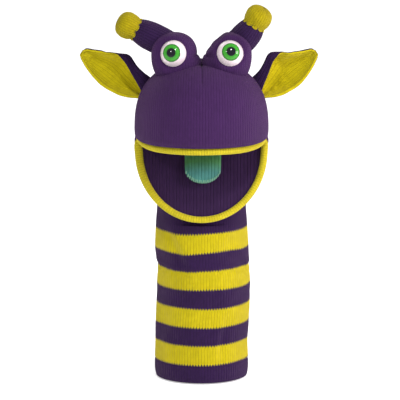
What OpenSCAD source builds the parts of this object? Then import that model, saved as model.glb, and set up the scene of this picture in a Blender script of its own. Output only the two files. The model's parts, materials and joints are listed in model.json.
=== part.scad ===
// Knitted sock puppet: a horned creature with a hinged mouth, worn on the hand and forearm.
// Frame: the origin is the centre of the arm opening at the hem, +Z runs up the arm, and the
// puppet faces -Y. Left and right are the puppet's own, so its left side is +X. Millimetres.
// The mouth is drawn open. It hinges about an X axis at the fold between the two palates.

/* [Sleeve] */
// Outer radius of the striped sleeve
sleeve_r = 49; // [48:0.5:52]
// Thickness of one layer of knitting
knit = 1.6; // [1.4:0.1:1.8]
// Height of the turned-up hem band
hem_h = 18.4; // [16:0.1:22]
// Height of each colour stripe above the hem
stripe_h = 20.5; // [20:0.1:22]

/* [Head] */
// Half width of the head at its widest level
head_half_w = 70.5; // [69:0.5:72]
// Half depth of the head, front to back
head_half_d = 76; // [74:0.5:77]
// Height of the crown above the widest level
crown_h = 70; // [68:1:74]
// Radius of the two mounds that carry the eyes
mound_r = 24; // [23:0.5:25]

/* [Mouth] */
// Slope of the lower palate below horizontal, mouth open
jaw_drop = 60; // [54:1:61]
// Half width of the upper lip, outside the band
upper_lip_half_w = 65; // [63:0.5:66]
// Half width of the lower lip, outside the band
lower_lip_half_w = 71.4; // [70:0.1:72]
// Width of the tongue
tongue_w = 38; // [30:1:44]
// Length of the tongue from its root
tongue_len = 38; // [30:1:44]

/* [Eyes] */
// Diameter of the safety eye
eye_d = 29.2; // [27:0.1:31]
// Height of the eye's dome
eye_h = 11; // [9:0.5:12]
// Diameter of the iris
iris_d = 18.6; // [15:0.1:20]
// Diameter of the pupil
pupil_d = 9.5; // [7:0.1:11]

/* [Ears and horns] */
// Length of an ear from root to tip
ear_len = 77; // [65:1:82]
// Width of an ear across its middle
ear_w = 42; // [34:1:46]
// Slope of the ears above horizontal
ear_rise = 30.2; // [26:0.1:34]
// Diameter of a horn at its root
horn_root_d = 28; // [26:0.5:29]
// Diameter of a horn at its tip
horn_tip_d = 21; // [19:0.5:22]
// Diameter of the stuffed ball on a horn's tip
pompom_d = 28.6; // [26:0.1:30]

/* [Hidden] */

$fn = 96;
fold_gap = 0.3; // between pieces that move past each other
snug = 0.2; // between a cover and what fills it
seam_gap = 0.02; // between two pieces of knitting sewn edge to edge
left = 1;
right = -1;
purple = [0.26, 0.17, 0.33];
yellow = [0.8, 0.73, 0.13];
stuffing_white = [0.93, 0.92, 0.89];
big = 200;

// Levels up the arm
nod_z = hem_h + 6 * stripe_h + 13.6; // the neck nods about this level
tilt_z = nod_z + 28; // the head tilts about this level
mouth_hinge = [0, -15, tilt_z + 75];
stripe_z = [for (k = [0 : 7]) hem_h + k * stripe_h];

// The neck is two hollow balls, one inside the other, so that it bends without opening.
neck_ball_r = sleeve_r - 0.1;
neck_foot_z = nod_z - 32;
neck_top_z = nod_z + 14;
collar_r = neck_ball_r - knit - 0.4;
collar_foot_z = tilt_z - 30;

// Head
head_y = -30;
head_z = mouth_hinge.z + 19;
crown_power = 2.4; // a little squarer than an ellipse
throat_foot = [-47.5, tilt_z - 12]; // y and z where the throat wall starts
throat_lean = 34.4;
mound_centre = [28.8, -35, mouth_hinge.z + 97.5];

// Heights above (upper) or below (lower) the fold's own plane, in each palate's frame
palate_rise = 3.5;
palate_gap = 2;
board_t = 1.5;
board_top = palate_gap + knit + board_t;
upper_band_r = 3.65;
lower_band_r = 4.5;
lower_band_front_r = 3.4;
lip_reach = 88; // from the fold to the front of the upper lip
jaw_reach = 91.5;
corner_run = 10; // straight stretch of the lips next to the fold
skin_floor = 7.1; // height of the head's underside above the fold's plane

// Eyes
eye_ball_r = (pow(eye_d / 2, 2) + pow(eye_h, 2)) / (2 * eye_h);
eye_set = eye_ball_r - eye_h; // how far the dome's centre lies behind the eye's back
eye_turn = [6, -14]; // left and right, towards +X
eye_pitch = [22, 15];
eye_x = [30.2, -30.5];
eye_y = -49;
eye_z = mouth_hinge.z + 103;
post_r = 2.5;
post_len = 16;
washer_r = 11;
washer_t = 1.4;

// Horns, given for the +X side: root, slope at the root and at the tip, and length
horn_y = -24;
horn_root = [[31, mouth_hinge.z + 103], [29.7, mouth_hinge.z + 104]];
horn_slope = [[40, 60], [25.6, 25.6]];
horn_len = [35.5, 44.5];
pompom_half_t = 12;
pompom_lift = 10.1; // from the horn's tip to the ball's centre

ear_root = [61.8, -7, mouth_hinge.z + 57.5];
ear_cup = 8;

// Tongue
tongue_root = 12; // from the fold
tongue_t = 1.4; // each of its two layers
tongue_lift = 8; // degrees off the lower lining when the mouth is open
tongue_x = 1.5;

// Threads
dart_thread_r = 0.6;
gather_thread_r = 0.8;
edge_thread_r = 0.8;

// Boards and linings of the two palates, inside their lip bands
upper_inner_w = upper_lip_half_w - 2 * upper_band_r - snug;
upper_inner_reach = lip_reach - 2 * upper_band_r - snug;
lower_inner_w = lower_lip_half_w - 2 * lower_band_r - snug;
lower_inner_reach = jaw_reach - 2 * lower_band_front_r - snug;

// The jaw below its lip band, across and forward, and how far its cheek and keel are tucked in.
// Heights are given at the fold and at the lip.
jaw_half_w = lower_lip_half_w - 2.2;
jaw_len = jaw_reach - 2.5;
cheek_tuck = [3, 2.5];
cheek_h = [-14, -7.6];
keel_tuck = [11, 9];
keel_h = [-19, -8];

// Pockets for the fingers and for the thumb
pocket_w = 66;
pocket_len = 72;
pocket_h = 14;
pocket_wall = 1.2;
pocket_floor = board_top + snug;
thumb_pocket_w = 30;
thumb_pocket_len = 30;
thumb_pocket_h = 8.1;
thumb_pocket_wall = 0.8;
thumb_hole_w = 34;
thumb_hole_h = 28;
thumb_hole_from = 79; // up the throat wall from its foot

function side_index(side) = side == left ? 0 : 1;
function unit(v) = v / norm(v);
function mix(a, b, t) = a + (b - a) * t;
function smooth(t) = t * t * (3 - 2 * t);

// A closed solid through rings of points. Each ring turns anticlockwise about the way it climbs.
module loft(rings) {
    n = len(rings[0]);
    last = (len(rings) - 1) * n;
    sides = [
        for (i = [0 : len(rings) - 2], j = [0 : n - 1])
            let (k = (j + 1) % n, a = i * n, b = a + n)
            each [[a + j, b + j, b + k], [a + j, b + k, a + k]]
    ];
    foot = [for (j = [0 : n - 1]) j];
    top = [for (j = [n - 1 : -1 : 0]) last + j];
    polyhedron([for (ring = rings) each ring], concat([foot], sides, [top]));
}

// A round tube along a path. up is any direction across the whole path.
module tube(path, radii, up, sides = 12) {
    m = len(path) - 1;
    loft([
        for (i = [0 : m])
            let (along = unit(path[min(i + 1, m)] - path[max(i - 1, 0)]))
            let (out = unit(cross(up, along)), across = cross(along, out))
            [for (j = [0 : sides - 1])
                let (a = 360 * j / sides)
                path[i] + radii[i] * (cos(a) * out + sin(a) * across)]
    ]);
}

// Joins the shapes of one sewn piece into a single surface.
module sewn() {
    resize([0, 0, 0]) children();
}

module for_side(side) {
    if (side == left) children();
    else mirror([1, 0, 0]) children();
}

// --- Frames: x is across, -y runs forward from the fold, z is away from the palate's plane ---

module at_upper_palate() {
    translate(mouth_hinge) rotate([-palate_rise, 0, 0]) children();
}

module at_lower_palate() {
    translate(mouth_hinge) rotate([jaw_drop, 0, 0]) children();
}

module at_tongue() {
    at_lower_palate()
        translate([tongue_x, -tongue_root, tongue_t - palate_gap + fold_gap])
            rotate([-tongue_lift, 0, 0]) children();
}

// z runs out along the eye's gaze, from the flat back of the eye
module at_eye(side) {
    k = side_index(side);
    translate([eye_x[k], eye_y, eye_z])
        rotate([90 - eye_pitch[k], 0, eye_turn[k]])
            translate([0, 0, eye_set]) children();
}

// x runs from the root to the tip, z across the leaf, -y out of its hollow side
module at_ear(side) {
    for_side(side) translate(ear_root) rotate([0, -ear_rise, 0]) children();
}

// z runs out of the tip of the horn
module at_horn_tip(side) {
    for_side(side)
        translate(horn_point(side, 1))
            rotate([0, 90 - horn_slope[side_index(side)][1], 0]) children();
}

// --- Outlines ---

// The bow of a lip, from the right corner round the front to the left corner
function bow(half_w, reach, steps = 28) = [
    for (i = [0 : steps])
        let (a = 180 - 180 * i / steps)
        [half_w * cos(a), -corner_run - (reach - corner_run) * sin(a)]
];

function palate(half_w, reach, rear) =
    concat([[-half_w, -rear]], bow(half_w, reach), [[half_w, -rear]]);

// The same outline as a ring whose height slopes from the fold to the front
function palate_ring(half_w, reach, rear, rear_h, front_h) = [
    for (p = palate(half_w, reach, rear))
        [p.x, p.y, mix(rear_h, front_h, -p.y / jaw_reach)]
];

function oval(half_w, half_d, centre_y, z, steps = 36) = [
    for (i = [0 : steps - 1])
        let (a = 360 * i / steps)
        [half_w * cos(a), centre_y + half_d * sin(a), z]
];

// Narrowing of the head towards the crown, for a height from 0 to 1
function crown(h) = pow(1 - pow(h, crown_power), 1 / crown_power);

function horn_angle(side, t) = mix(horn_slope[side_index(side)][0], horn_slope[side_index(side)][1], t);

// A point on the horn's axis. The mean slope up to t gives the place, which is close for a slow bend.
function horn_point(side, t) =
    let (k = side_index(side), a = horn_angle(side, t / 2), run = horn_len[k] * t)
    [horn_root[k].x + run * cos(a), horn_y, horn_root[k].y + run * sin(a)];

// --- Sleeve ---

module ring(outer_r, wall, from_z, to_z) {
    translate([0, 0, from_z]) difference() {
        cylinder(r = outer_r, h = to_z - from_z);
        translate([0, 0, -1]) cylinder(r = outer_r - wall, h = to_z - from_z + 2);
    }
}

module hem_band() {
    color(purple) ring(sleeve_r, knit, 0, hem_h - fold_gap);
}

module hem_facing() {
    color(purple) ring(sleeve_r - knit, knit, 0, hem_h - 1.4);
}

module sleeve_courses(first) {
    for (k = [first : 2 : 5]) ring(sleeve_r, knit, stripe_z[k], stripe_z[k + 1]);
}

module sleeve_purple_courses() {
    color(purple) sleeve_courses(1);
}

module sleeve_yellow_courses() {
    color(yellow) sleeve_courses(0);
}

module neck_band(from_z, to_z) {
    intersection() {
        translate([0, 0, nod_z]) difference() {
            sphere(r = neck_ball_r);
            sphere(r = neck_ball_r - knit);
        }
        translate([0, 0, from_z]) cylinder(r = big / 2, h = to_z - from_z);
    }
}

module neck_yellow_courses() {
    color(yellow) neck_band(neck_foot_z, stripe_z[7]);
}

module neck_purple_courses() {
    color(purple) neck_band(stripe_z[7], neck_top_z);
}

// --- Head ---

module dome(inset) {
    half_w = head_half_w - inset;
    half_d = head_half_d - inset;
    under = [
        oval(half_w * 0.975, half_d * 0.975, head_y, head_z - 24),
        oval(half_w * 0.995, half_d * 0.995, head_y, head_z - 11)
    ];
    over = [
        for (k = [0 : 10])
            let (h = pow(sin(8.8 * k), 2 / crown_power))
            oval(half_w * crown(h), half_d * crown(h), head_y, head_z + (crown_h - inset) * h)
    ];
    loft(concat(under, over));
}

// From the collar up to the head's widest level, back and sides only
module nape(inset) {
    foot_r = collar_r - inset;
    top_z = head_z - 7;
    loft([
        for (k = [0 : 8])
            let (t = k / 8, s = smooth(t))
            oval(mix(foot_r, head_half_w - 0.5 - inset, s), mix(foot_r, head_half_d - 0.5 - inset, s),
                head_y * s, mix(tilt_z, top_z, t))
    ]);
}

module above_palate(h) {
    at_upper_palate() translate([-big / 2, -big, h]) cube([big, 2 * big, big]);
}

module at_throat() {
    translate([0, throat_foot[0], throat_foot[1]]) rotate([-throat_lean, 0, 0]) children();
}

module behind_throat(inset) {
    at_throat() translate([-big / 2, inset, -big]) cube([big, big, 2 * big]);
}

module head_form(inset) {
    intersection() {
        dome(inset);
        above_palate(skin_floor + inset);
    }
    intersection() {
        union() {
            nape(inset);
            translate([0, 0, tilt_z]) sphere(r = collar_r - inset, $fn = 36);
        }
        behind_throat(inset);
    }
}

module head_shell() {
    difference() {
        head_form(0);
        head_form(knit);
    }
}

// The stuffed part of the head, down to the level of the mouth
module head_skin() {
    color(purple) sewn() difference() {
        intersection() {
            head_shell();
            above_palate(skin_floor);
        }
        // the mouth
        at_upper_palate() linear_extrude(2 * skin_floor)
            polygon(palate(upper_lip_half_w + snug, lip_reach + snug, 0));
    }
}

// The back of the neck and the throat, with the hole for the thumb
module nape_skin() {
    color(purple) sewn() difference() {
        head_shell();
        above_palate(skin_floor - seam_gap);
        translate([0, 0, -big]) cylinder(r = big, h = big + collar_foot_z);
        at_throat() translate([-thumb_hole_w / 2, -big / 2, thumb_hole_from])
            cube([thumb_hole_w, big, thumb_hole_h]);
    }
}

// A flat fabric pocket, open at the rear and round at the front
module pocket_shape(width, length, height) {
    r = width / 2;
    translate([-r, r - length, 0]) cube([width, length - r, height]);
    translate([0, r - length, 0]) cylinder(r = r, h = height);
}

module pocket(width, length, height, wall) {
    difference() {
        pocket_shape(width, length, height);
        translate([0, wall, wall]) pocket_shape(width - 2 * wall, length, height - 2 * wall);
    }
}

module head_stuffing() {
    color(stuffing_white) sewn() difference() {
        intersection() {
            dome(knit + snug);
            above_palate(skin_floor + knit + snug);
        }
        at_upper_palate() translate([0, 0, pocket_floor - 1]) {
            pocket_shape(pocket_w + 2 * snug, pocket_len + snug, pocket_h + 1 + snug);
            // the way in, from the palm
            translate([-pocket_w / 2, -1, 0]) cube([pocket_w, 30, pocket_h + 1 + snug]);
        }
        // room for the palm behind the pocket
        translate([0, 17, 0]) scale([1.6, 1, 1]) cylinder(r = 24.5, h = mouth_hinge.z + 30, $fn = 48);
    }
}

module finger_pocket() {
    color(purple) at_upper_palate() translate([0, 0, pocket_floor])
        pocket(pocket_w, pocket_len, pocket_h, pocket_wall);
}

module palate_plate(half_w, reach, rear, foot, thickness) {
    translate([0, 0, foot]) linear_extrude(thickness) polygon(palate(half_w, reach, rear));
}

module palate_board_upper() {
    color([0.75, 0.66, 0.5]) at_upper_palate()
        palate_plate(upper_inner_w, upper_inner_reach, 2, palate_gap + knit, board_t);
}

module mouth_lining_upper() {
    color(purple) at_upper_palate()
        palate_plate(upper_inner_w, upper_inner_reach, 2, palate_gap, knit);
}

// A soft tube along a lip, a little finer at its two ends and at the front
module lip_band(half_w, reach, side_r, front_r, h) {
    line = bow(half_w - side_r, reach - front_r);
    path = [for (p = line) [p.x, p.y, h]];
    m = len(path) - 1;
    radii = [for (i = [0 : m]) mix(side_r, front_r, pow(sin(180 * i / m), 2)) * (i % m == 0 ? 0.7 : 1)];
    tube(path, radii, [0, 0, 1]);
}

module lip_band_upper() {
    color(yellow) at_upper_palate()
        lip_band(upper_lip_half_w, lip_reach, upper_band_r, upper_band_r, upper_band_r - 0.25);
}

// The seam of the dart runs down the middle of the forehead, between the eye mounds.
module forehead_dart_thread() {
    r = dart_thread_r;
    path = [
        for (k = [0 : 10])
            let (h = mix(0.985, 0.83, k / 10))
            [0, head_y - (head_half_d + r) * crown(h) - r, head_z + (crown_h + r) * h + r]
    ];
    color([0.12, 0.08, 0.16]) tube(path, [for (p = path) r], [1, 0, 0], 8);
}

// --- Eyes ---

module mound_ball(side, grow) {
    for_side(side) translate(mound_centre) sphere(r = mound_r + grow, $fn = 30);
}

module behind_eye(side, depth) {
    at_eye(side) translate([-big / 2, -big / 2, -big - depth]) cube(big);
}

module mound_form(side, inset) {
    intersection() {
        mound_ball(side, -inset);
        behind_eye(side, inset);
    }
}

module eye_mound(side) {
    color(purple) sewn() difference() {
        mound_form(side, 0);
        mound_form(side, knit);
        dome(0);
        at_eye(side) translate([0, 0, -3 * knit]) cylinder(r = post_r + 0.5, h = 4 * knit, $fn = 24);
    }
}

module eye_mound_stuffing(side) {
    color(stuffing_white) sewn() difference() {
        mound_form(side, knit + snug);
        dome(-snug);
        at_eye(side) translate([0, 0, -post_len - 1])
            cylinder(r = washer_r + 1, h = post_len + 1, $fn = 32);
    }
}

// The outer skin of the eye's dome, out to a radius from its axis
module eye_skin(r, skin_t = 0.5) {
    intersection() {
        translate([0, 0, -eye_set]) difference() {
            sphere(r = eye_ball_r);
            sphere(r = eye_ball_r - skin_t);
        }
        cylinder(r = r, h = 2 * eye_h);
    }
}

module eyeball(side) {
    color([0.94, 0.93, 0.92]) at_eye(side) {
        difference() {
            intersection() {
                translate([0, 0, -eye_set]) sphere(r = eye_ball_r);
                cylinder(r = eye_d, h = 2 * eye_h);
            }
            eye_skin(iris_d / 2, 0.52);
        }
        translate([0, 0, -post_len]) cylinder(r = post_r, h = post_len + 1);
    }
}

module iris(side) {
    color([0.3, 0.6, 0.2]) at_eye(side) difference() {
        eye_skin(iris_d / 2);
        cylinder(r = pupil_d / 2, h = 2 * eye_h);
    }
}

module pupil(side) {
    color([0.05, 0.05, 0.07]) at_eye(side) eye_skin(pupil_d / 2);
}

module eye_washer(side) {
    color([0.9, 0.9, 0.9]) at_eye(side)
        translate([0, 0, -knit - washer_t]) difference() {
            cylinder(r = washer_r, h = washer_t);
            translate([0, 0, -1]) cylinder(r = post_r + 0.05, h = washer_t + 2);
        }
}

// --- Ears ---

// Half width of the leaf at a fraction t of its length
function ear_half_w(t) =
    let (widest = 0.42)
    ear_w / 2 * pow(1 - pow(abs(t - widest) / (1 - widest), 1.8), 0.9);

// One cupped layer of the leaf, between two distances behind its hollow side
module ear_layer(side, front, back) {
    across = 5;
    loft([
        for (i = [0 : 11])
            let (t = 0.995 * i / 11, half = ear_half_w(t), cup = ear_cup * half / (ear_w / 2))
            let (edge = [for (j = [-across : across]) [j / across * half, cup * (1 - pow(j / across, 2))]])
            concat(
                [for (e = edge) [ear_len * t, e[1] + back, e[0]]],
                [for (j = [2 * across : -1 : 0]) [ear_len * t, edge[j][1] + front, edge[j][0]]]
            )
    ]);
}

module ear_front(side) {
    color(yellow) at_ear(side) ear_layer(side, -knit, 0);
}

module ear_back(side) {
    color(purple) at_ear(side) ear_layer(side, 0, knit);
}

// --- Horns ---

module horn_tube(side, inset, from_t, to_t) {
    steps = 8;
    ts = [for (i = [0 : steps]) mix(from_t, to_t, i / steps)];
    for_side(side) tube(
        [for (t = ts) horn_point(side, t)],
        [for (t = ts) mix(horn_root_d, horn_tip_d, t) / 2 - inset],
        [0, 1, 0],
        24
    );
}

module horn_cover(side) {
    color(purple) sewn() difference() {
        horn_tube(side, 0, 0, 1);
        horn_tube(side, knit, -0.2, 1.2);
        mound_ball(side, fold_gap);
    }
}

module horn_stuffing(side) {
    color(stuffing_white) sewn() difference() {
        horn_tube(side, knit + snug, 0, 0.99);
        mound_ball(side, fold_gap);
    }
}

// A slice through the ball on the horn's tip, cut flat where it is gathered
function pompom_slice(inset) =
    let (wide = pompom_d / 2 - inset, tall = pompom_half_t - inset)
    let (start = -asin((pompom_lift - snug) / tall))
    [for (i = [0 : 14]) let (a = mix(start, 90, i / 14)) [wide * cos(a), pompom_lift + tall * sin(a)]];

module pompom_cover(side) {
    outer = pompom_slice(0);
    inner = pompom_slice(knit);
    color(yellow) at_horn_tip(side) rotate_extrude()
        polygon(concat(outer, [for (i = [len(inner) - 1 : -1 : 0]) inner[i]]));
}

module pompom_stuffing(side) {
    fill = pompom_slice(knit + snug);
    color(stuffing_white) at_horn_tip(side) rotate_extrude()
        polygon(concat([[0, fill[0].y]], fill));
}

module pompom_thread(side) {
    r = gather_thread_r;
    color(purple) at_horn_tip(side) rotate_extrude()
        translate([horn_tip_d / 2 + r + snug, -r]) circle(r = r, $fn = 24);
}

// --- Jaw ---

function jaw_ring(inset, tuck, heights, rear) =
    palate_ring(jaw_half_w - tuck[0] - inset, jaw_len - tuck[1] - inset, rear,
        heights[0] + inset, heights[1] + inset);

// The jaw under its board: deep at the fold and thin at the lip
module jaw_form(inset, rear, rim_h) {
    loft([
        jaw_ring(inset, keel_tuck, keel_h, rear),
        jaw_ring(inset, cheek_tuck, cheek_h, rear),
        palate_ring(jaw_half_w - inset, jaw_len - inset, rear, rim_h, rim_h + 1.2)
    ]);
}

module jaw_skin() {
    rim_h = -7.4;
    color(purple) sewn() at_lower_palate() difference() {
        jaw_form(0, 0, rim_h);
        jaw_form(knit, -5, rim_h + 0.1);
    }
}

module at_thumb_pocket() {
    at_lower_palate() translate([0, -0.5, -board_top - snug - thumb_pocket_h]) children();
}

module jaw_padding() {
    fill = knit + snug;
    top_h = -board_top - snug;
    rear = 0.5;
    color(stuffing_white) sewn() difference() {
        at_lower_palate() loft([
            jaw_ring(fill, keel_tuck, keel_h, rear),
            jaw_ring(fill + 1, cheek_tuck, cheek_h, rear),
            palate_ring(lower_inner_w - 1, lower_inner_reach - 1, rear, top_h, top_h)
        ]);
        at_thumb_pocket()
            pocket_shape(thumb_pocket_w + 2 * snug, thumb_pocket_len + snug, thumb_pocket_h + 2);
    }
}

module thumb_pocket() {
    color(purple) at_thumb_pocket()
        pocket(thumb_pocket_w, thumb_pocket_len, thumb_pocket_h, thumb_pocket_wall);
}

module palate_board_lower() {
    color([0.75, 0.66, 0.5]) at_lower_palate()
        palate_plate(lower_inner_w, lower_inner_reach, 2, -board_top, board_t);
}

module mouth_lining_lower() {
    color(purple) at_lower_palate()
        palate_plate(lower_inner_w, lower_inner_reach, 2, -palate_gap - knit, knit);
}

module lip_band_lower() {
    color(yellow) at_lower_palate()
        lip_band(lower_lip_half_w, jaw_reach, lower_band_r, lower_band_front_r, -2.6);
}

// --- Tongue ---

// Straight sides and a round tip
function leaf(half_w, reach) = concat(
    [[-half_w, 0]],
    [for (i = [0 : 20])
        let (a = 180 - 9 * i)
        [half_w * cos(a), half_w - reach - half_w * sin(a)]],
    [[half_w, 0]]
);

module tongue_layer(foot) {
    translate([0, 0, foot]) linear_extrude(tongue_t)
        polygon(leaf(tongue_w / 2 - 2 * edge_thread_r, tongue_len - 2 * edge_thread_r));
}

module tongue_top() {
    color([0.29, 0.53, 0.48]) at_tongue() tongue_layer(0);
}

module tongue_underside() {
    color([0.2, 0.38, 0.25]) at_tongue() tongue_layer(-tongue_t);
}

module tongue_edge_thread() {
    r = edge_thread_r;
    path = [for (p = leaf(tongue_w / 2 - r, tongue_len - r)) [p.x, p.y, 0]];
    color([0.7, 0.8, 0.7]) at_tongue() tube(path, [for (p = path) r], [0, 0, 1], 8);
}

hem_band();
hem_facing();
sleeve_purple_courses();
sleeve_yellow_courses();
neck_yellow_courses();
neck_purple_courses();
head_skin();
nape_skin();
head_stuffing();
finger_pocket();
palate_board_upper();
mouth_lining_upper();
lip_band_upper();
forehead_dart_thread();
eye_mound(left);  // eye_mound_left
eye_mound(right);  // eye_mound_right
eye_mound_stuffing(left);  // eye_mound_stuffing_left
eye_mound_stuffing(right);  // eye_mound_stuffing_right
eyeball(left);  // eyeball_left
eyeball(right);  // eyeball_right
iris(left);  // iris_left
iris(right);  // iris_right
pupil(left);  // pupil_left
pupil(right);  // pupil_right
eye_washer(left);  // eye_washer_left
eye_washer(right);  // eye_washer_right
ear_front(left);  // ear_front_left
ear_front(right);  // ear_front_right
ear_back(left);  // ear_back_left
ear_back(right);  // ear_back_right
horn_cover(left);  // horn_cover_left
horn_cover(right);  // horn_cover_right
horn_stuffing(left);  // horn_stuffing_left
horn_stuffing(right);  // horn_stuffing_right
pompom_cover(left);  // pompom_cover_left
pompom_cover(right);  // pompom_cover_right
pompom_stuffing(left);  // pompom_stuffing_left
pompom_stuffing(right);  // pompom_stuffing_right
pompom_thread(left);  // pompom_thread_left
pompom_thread(right);  // pompom_thread_right
jaw_skin();
jaw_padding();
thumb_pocket();
palate_board_lower();
mouth_lining_lower();
lip_band_lower();
tongue_top();
tongue_underside();
tongue_edge_thread();
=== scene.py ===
import json
import math

import bmesh
import bpy
import numpy as np
from mathutils import Matrix, Vector

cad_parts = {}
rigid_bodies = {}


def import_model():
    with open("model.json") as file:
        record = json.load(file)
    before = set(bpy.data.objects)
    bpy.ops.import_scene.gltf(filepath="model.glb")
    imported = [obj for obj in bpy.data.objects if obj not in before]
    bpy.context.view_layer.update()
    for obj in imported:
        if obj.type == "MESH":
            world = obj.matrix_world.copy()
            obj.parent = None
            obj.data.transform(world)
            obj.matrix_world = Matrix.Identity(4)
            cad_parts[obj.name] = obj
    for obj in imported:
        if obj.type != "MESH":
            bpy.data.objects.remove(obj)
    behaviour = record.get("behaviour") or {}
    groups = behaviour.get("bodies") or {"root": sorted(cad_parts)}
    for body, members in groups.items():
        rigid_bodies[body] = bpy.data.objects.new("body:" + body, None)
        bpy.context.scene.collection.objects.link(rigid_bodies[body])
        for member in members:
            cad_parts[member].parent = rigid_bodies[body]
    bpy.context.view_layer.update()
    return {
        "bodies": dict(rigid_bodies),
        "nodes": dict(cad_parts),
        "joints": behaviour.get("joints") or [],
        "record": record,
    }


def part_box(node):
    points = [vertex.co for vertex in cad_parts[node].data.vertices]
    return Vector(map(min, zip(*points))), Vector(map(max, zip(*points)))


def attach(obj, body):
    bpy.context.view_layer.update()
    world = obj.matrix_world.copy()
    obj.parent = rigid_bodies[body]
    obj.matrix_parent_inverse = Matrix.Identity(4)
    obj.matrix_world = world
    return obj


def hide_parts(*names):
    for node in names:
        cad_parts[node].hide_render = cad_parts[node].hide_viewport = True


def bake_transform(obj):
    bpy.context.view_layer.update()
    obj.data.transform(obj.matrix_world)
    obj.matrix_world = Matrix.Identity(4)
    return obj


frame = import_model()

# Knitted sock puppet. Shapes are worked out in millimetres in the row frame (+Z up the arm, the
# puppet faces -Y, its left side is +X) and turned into metres when a mesh is made.
#
# Every knitted piece is a grid: rows climb along the wales, columns run across them. The grid's
# smooth shape comes from a formula, and the stitches are raised on it. For the sleeve, the head, the
# eye mounds and the ears, a coarse copy is first settled as cloth and its movement spread over the
# grid. Each grid carries a map "Knit" that counts wales across and courses up.

MM = 0.001
COLUMNS_PER_WALE = 4
STITCH_SLANT = 1.2  # how far a stitch's legs rise from its middle to its side, in courses

JOINTS = {joint["name"]: joint for joint in frame["joints"]}


def pivot(joint):
    return np.array(JOINTS[joint]["pos_m"]) / MM


def low(node):
    return np.array(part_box(node)[0]) / MM


def high(node):
    return np.array(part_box(node)[1]) / MM


# --- Sizes taken from the frame ---

SLEEVE_R = high("hem_band")[0]
HEM_H = low("sleeve_yellow_courses")[2]
TOP_STRIPE_Z = low("neck_purple_courses")[2]
STRIPES = 7
STRIPE_H = (TOP_STRIPE_Z - HEM_H) / STRIPES
HINGE = pivot("jaw_open")
TILT_Z = pivot("head_tilt")[2]
MOUND = pivot("horn_bend_left")
EAR_ROOT = pivot("ear_flap_left")
CROWN_Z = high("head_skin")[2]
HEAD_HALF_W = high("head_skin")[0]
HEAD_FRONT_Y = low("head_skin")[1]
HEAD_Y = -30.0
HEAD_HALF_D = HEAD_Y - HEAD_FRONT_Y
HEAD_Z = HINGE[2] + 19
CROWN_H = CROWN_Z - HEAD_Z

SLEEVE_TOP = 130.0  # where the sleeve's mesh hands over to the neck's
NECK_TOP = 172.0  # where the neck's mesh hands over to the head's
COURSE = STRIPE_H / 9
HEM_COURSES = 8
SLEEVE_WALES = 102

PALATE_RISE = 3.5  # degrees
JAW_DROP = 60.0  # degrees


# --- Small tools ---

def smooth(t):
    t = np.clip(t, 0, 1)
    return t * t * (3 - 2 * t)


def mix(a, b, t):
    return a + (b - a) * t


def unit(v):
    return v / np.maximum(np.linalg.norm(v, axis=-1, keepdims=True), 1e-9)


def catmull_rom(a, b, c, d, f):
    """The smooth curve from b to c, at f from 0 to 1, with a and d as their neighbours."""
    square = 2 * a - 5 * b + 4 * c - d
    return 0.5 * (2 * b + (c - a) * f + square * f**2 + (3 * b - a - 3 * c + d) * f**3)


def spline(points, t):
    """Points on a smooth curve through a list of points, at t from 0 to 1 (Catmull-Rom)."""
    points = np.asarray(points, float)
    if points.ndim == 1:
        points = points[:, None]
    ends = np.vstack([2 * points[0] - points[1], points, 2 * points[-1] - points[-2]])
    place = np.clip(np.asarray(t, float), 0, 1) * (len(points) - 1)
    start = np.minimum(place.astype(int), len(points) - 2)
    f = (place - start)[..., None]
    return catmull_rom(*(ends[start + k] for k in range(4)), f)


def lengths(path):
    """Distance along each column of a grid, from its first row."""
    steps = np.linalg.norm(np.diff(path, axis=0), axis=-1)
    return np.concatenate([np.zeros((1,) + steps.shape[1:]), np.cumsum(steps, axis=0)])


def respaced(grid, rows):
    """The same columns with their rows spread evenly along each one."""
    travel = lengths(grid)
    out = np.empty((rows,) + grid.shape[1:])
    for j in range(grid.shape[1]):
        want = np.linspace(0, travel[-1, j], rows)
        for k in range(3):
            out[:, j, k] = np.interp(want, travel[:, j], grid[:, j, k])
    return out


def resampled_ring(ring, count):
    """A closed ring of evenly spaced points, starting where the given one starts."""
    closed = np.vstack([ring, ring[:1]])
    travel = lengths(closed[:, None, :])[:, 0]
    want = np.arange(count) / count * travel[-1]
    return np.stack([np.interp(want, travel, closed[:, k]) for k in range(3)], axis=-1)


def ripple(u, v, seed, waves=5):
    """Gentle unevenness from -1 to 1 that repeats in u, for handmade cloth."""
    rng = np.random.default_rng(seed)
    total = np.zeros(np.broadcast(u, v).shape)
    for _ in range(waves):
        turns = rng.integers(1, 5)
        climb = rng.uniform(0.5, 3.5)
        total += np.sin(2 * np.pi * (turns * u + climb * v) + rng.uniform(0, 2 * np.pi))
    return total / waves


# --- Frames: an origin and three axes, as the columns of a matrix ---

def turned(axis, degrees):
    return np.array(Matrix.Rotation(math.radians(degrees), 3, axis))


class Frame:
    def __init__(self, origin, axes):
        self.origin, self.axes = np.asarray(origin, float), np.asarray(axes, float)

    def out(self, *xyz):
        """Points given in this frame, in the row frame."""
        local = np.stack(np.broadcast_arrays(*[np.asarray(c, float) for c in xyz]), axis=-1)
        return local @ self.axes.T + self.origin

    def back(self, points):
        """Points given in the row frame, in this one."""
        return (points - self.origin) @ self.axes

    def mirrored(self):
        flip = np.diag([-1.0, 1.0, 1.0])
        return Frame(self.origin * [-1, 1, 1], flip @ self.axes)


# In both palates x is across, -y runs forward from the fold and z is away from the palate.
UPPER_PALATE = Frame(HINGE, turned("X", -PALATE_RISE))
LOWER_PALATE = Frame(HINGE, turned("X", JAW_DROP))
TONGUE = Frame(LOWER_PALATE.out(1.5, -12.0, -0.3), turned("X", JAW_DROP - 8))

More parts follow.
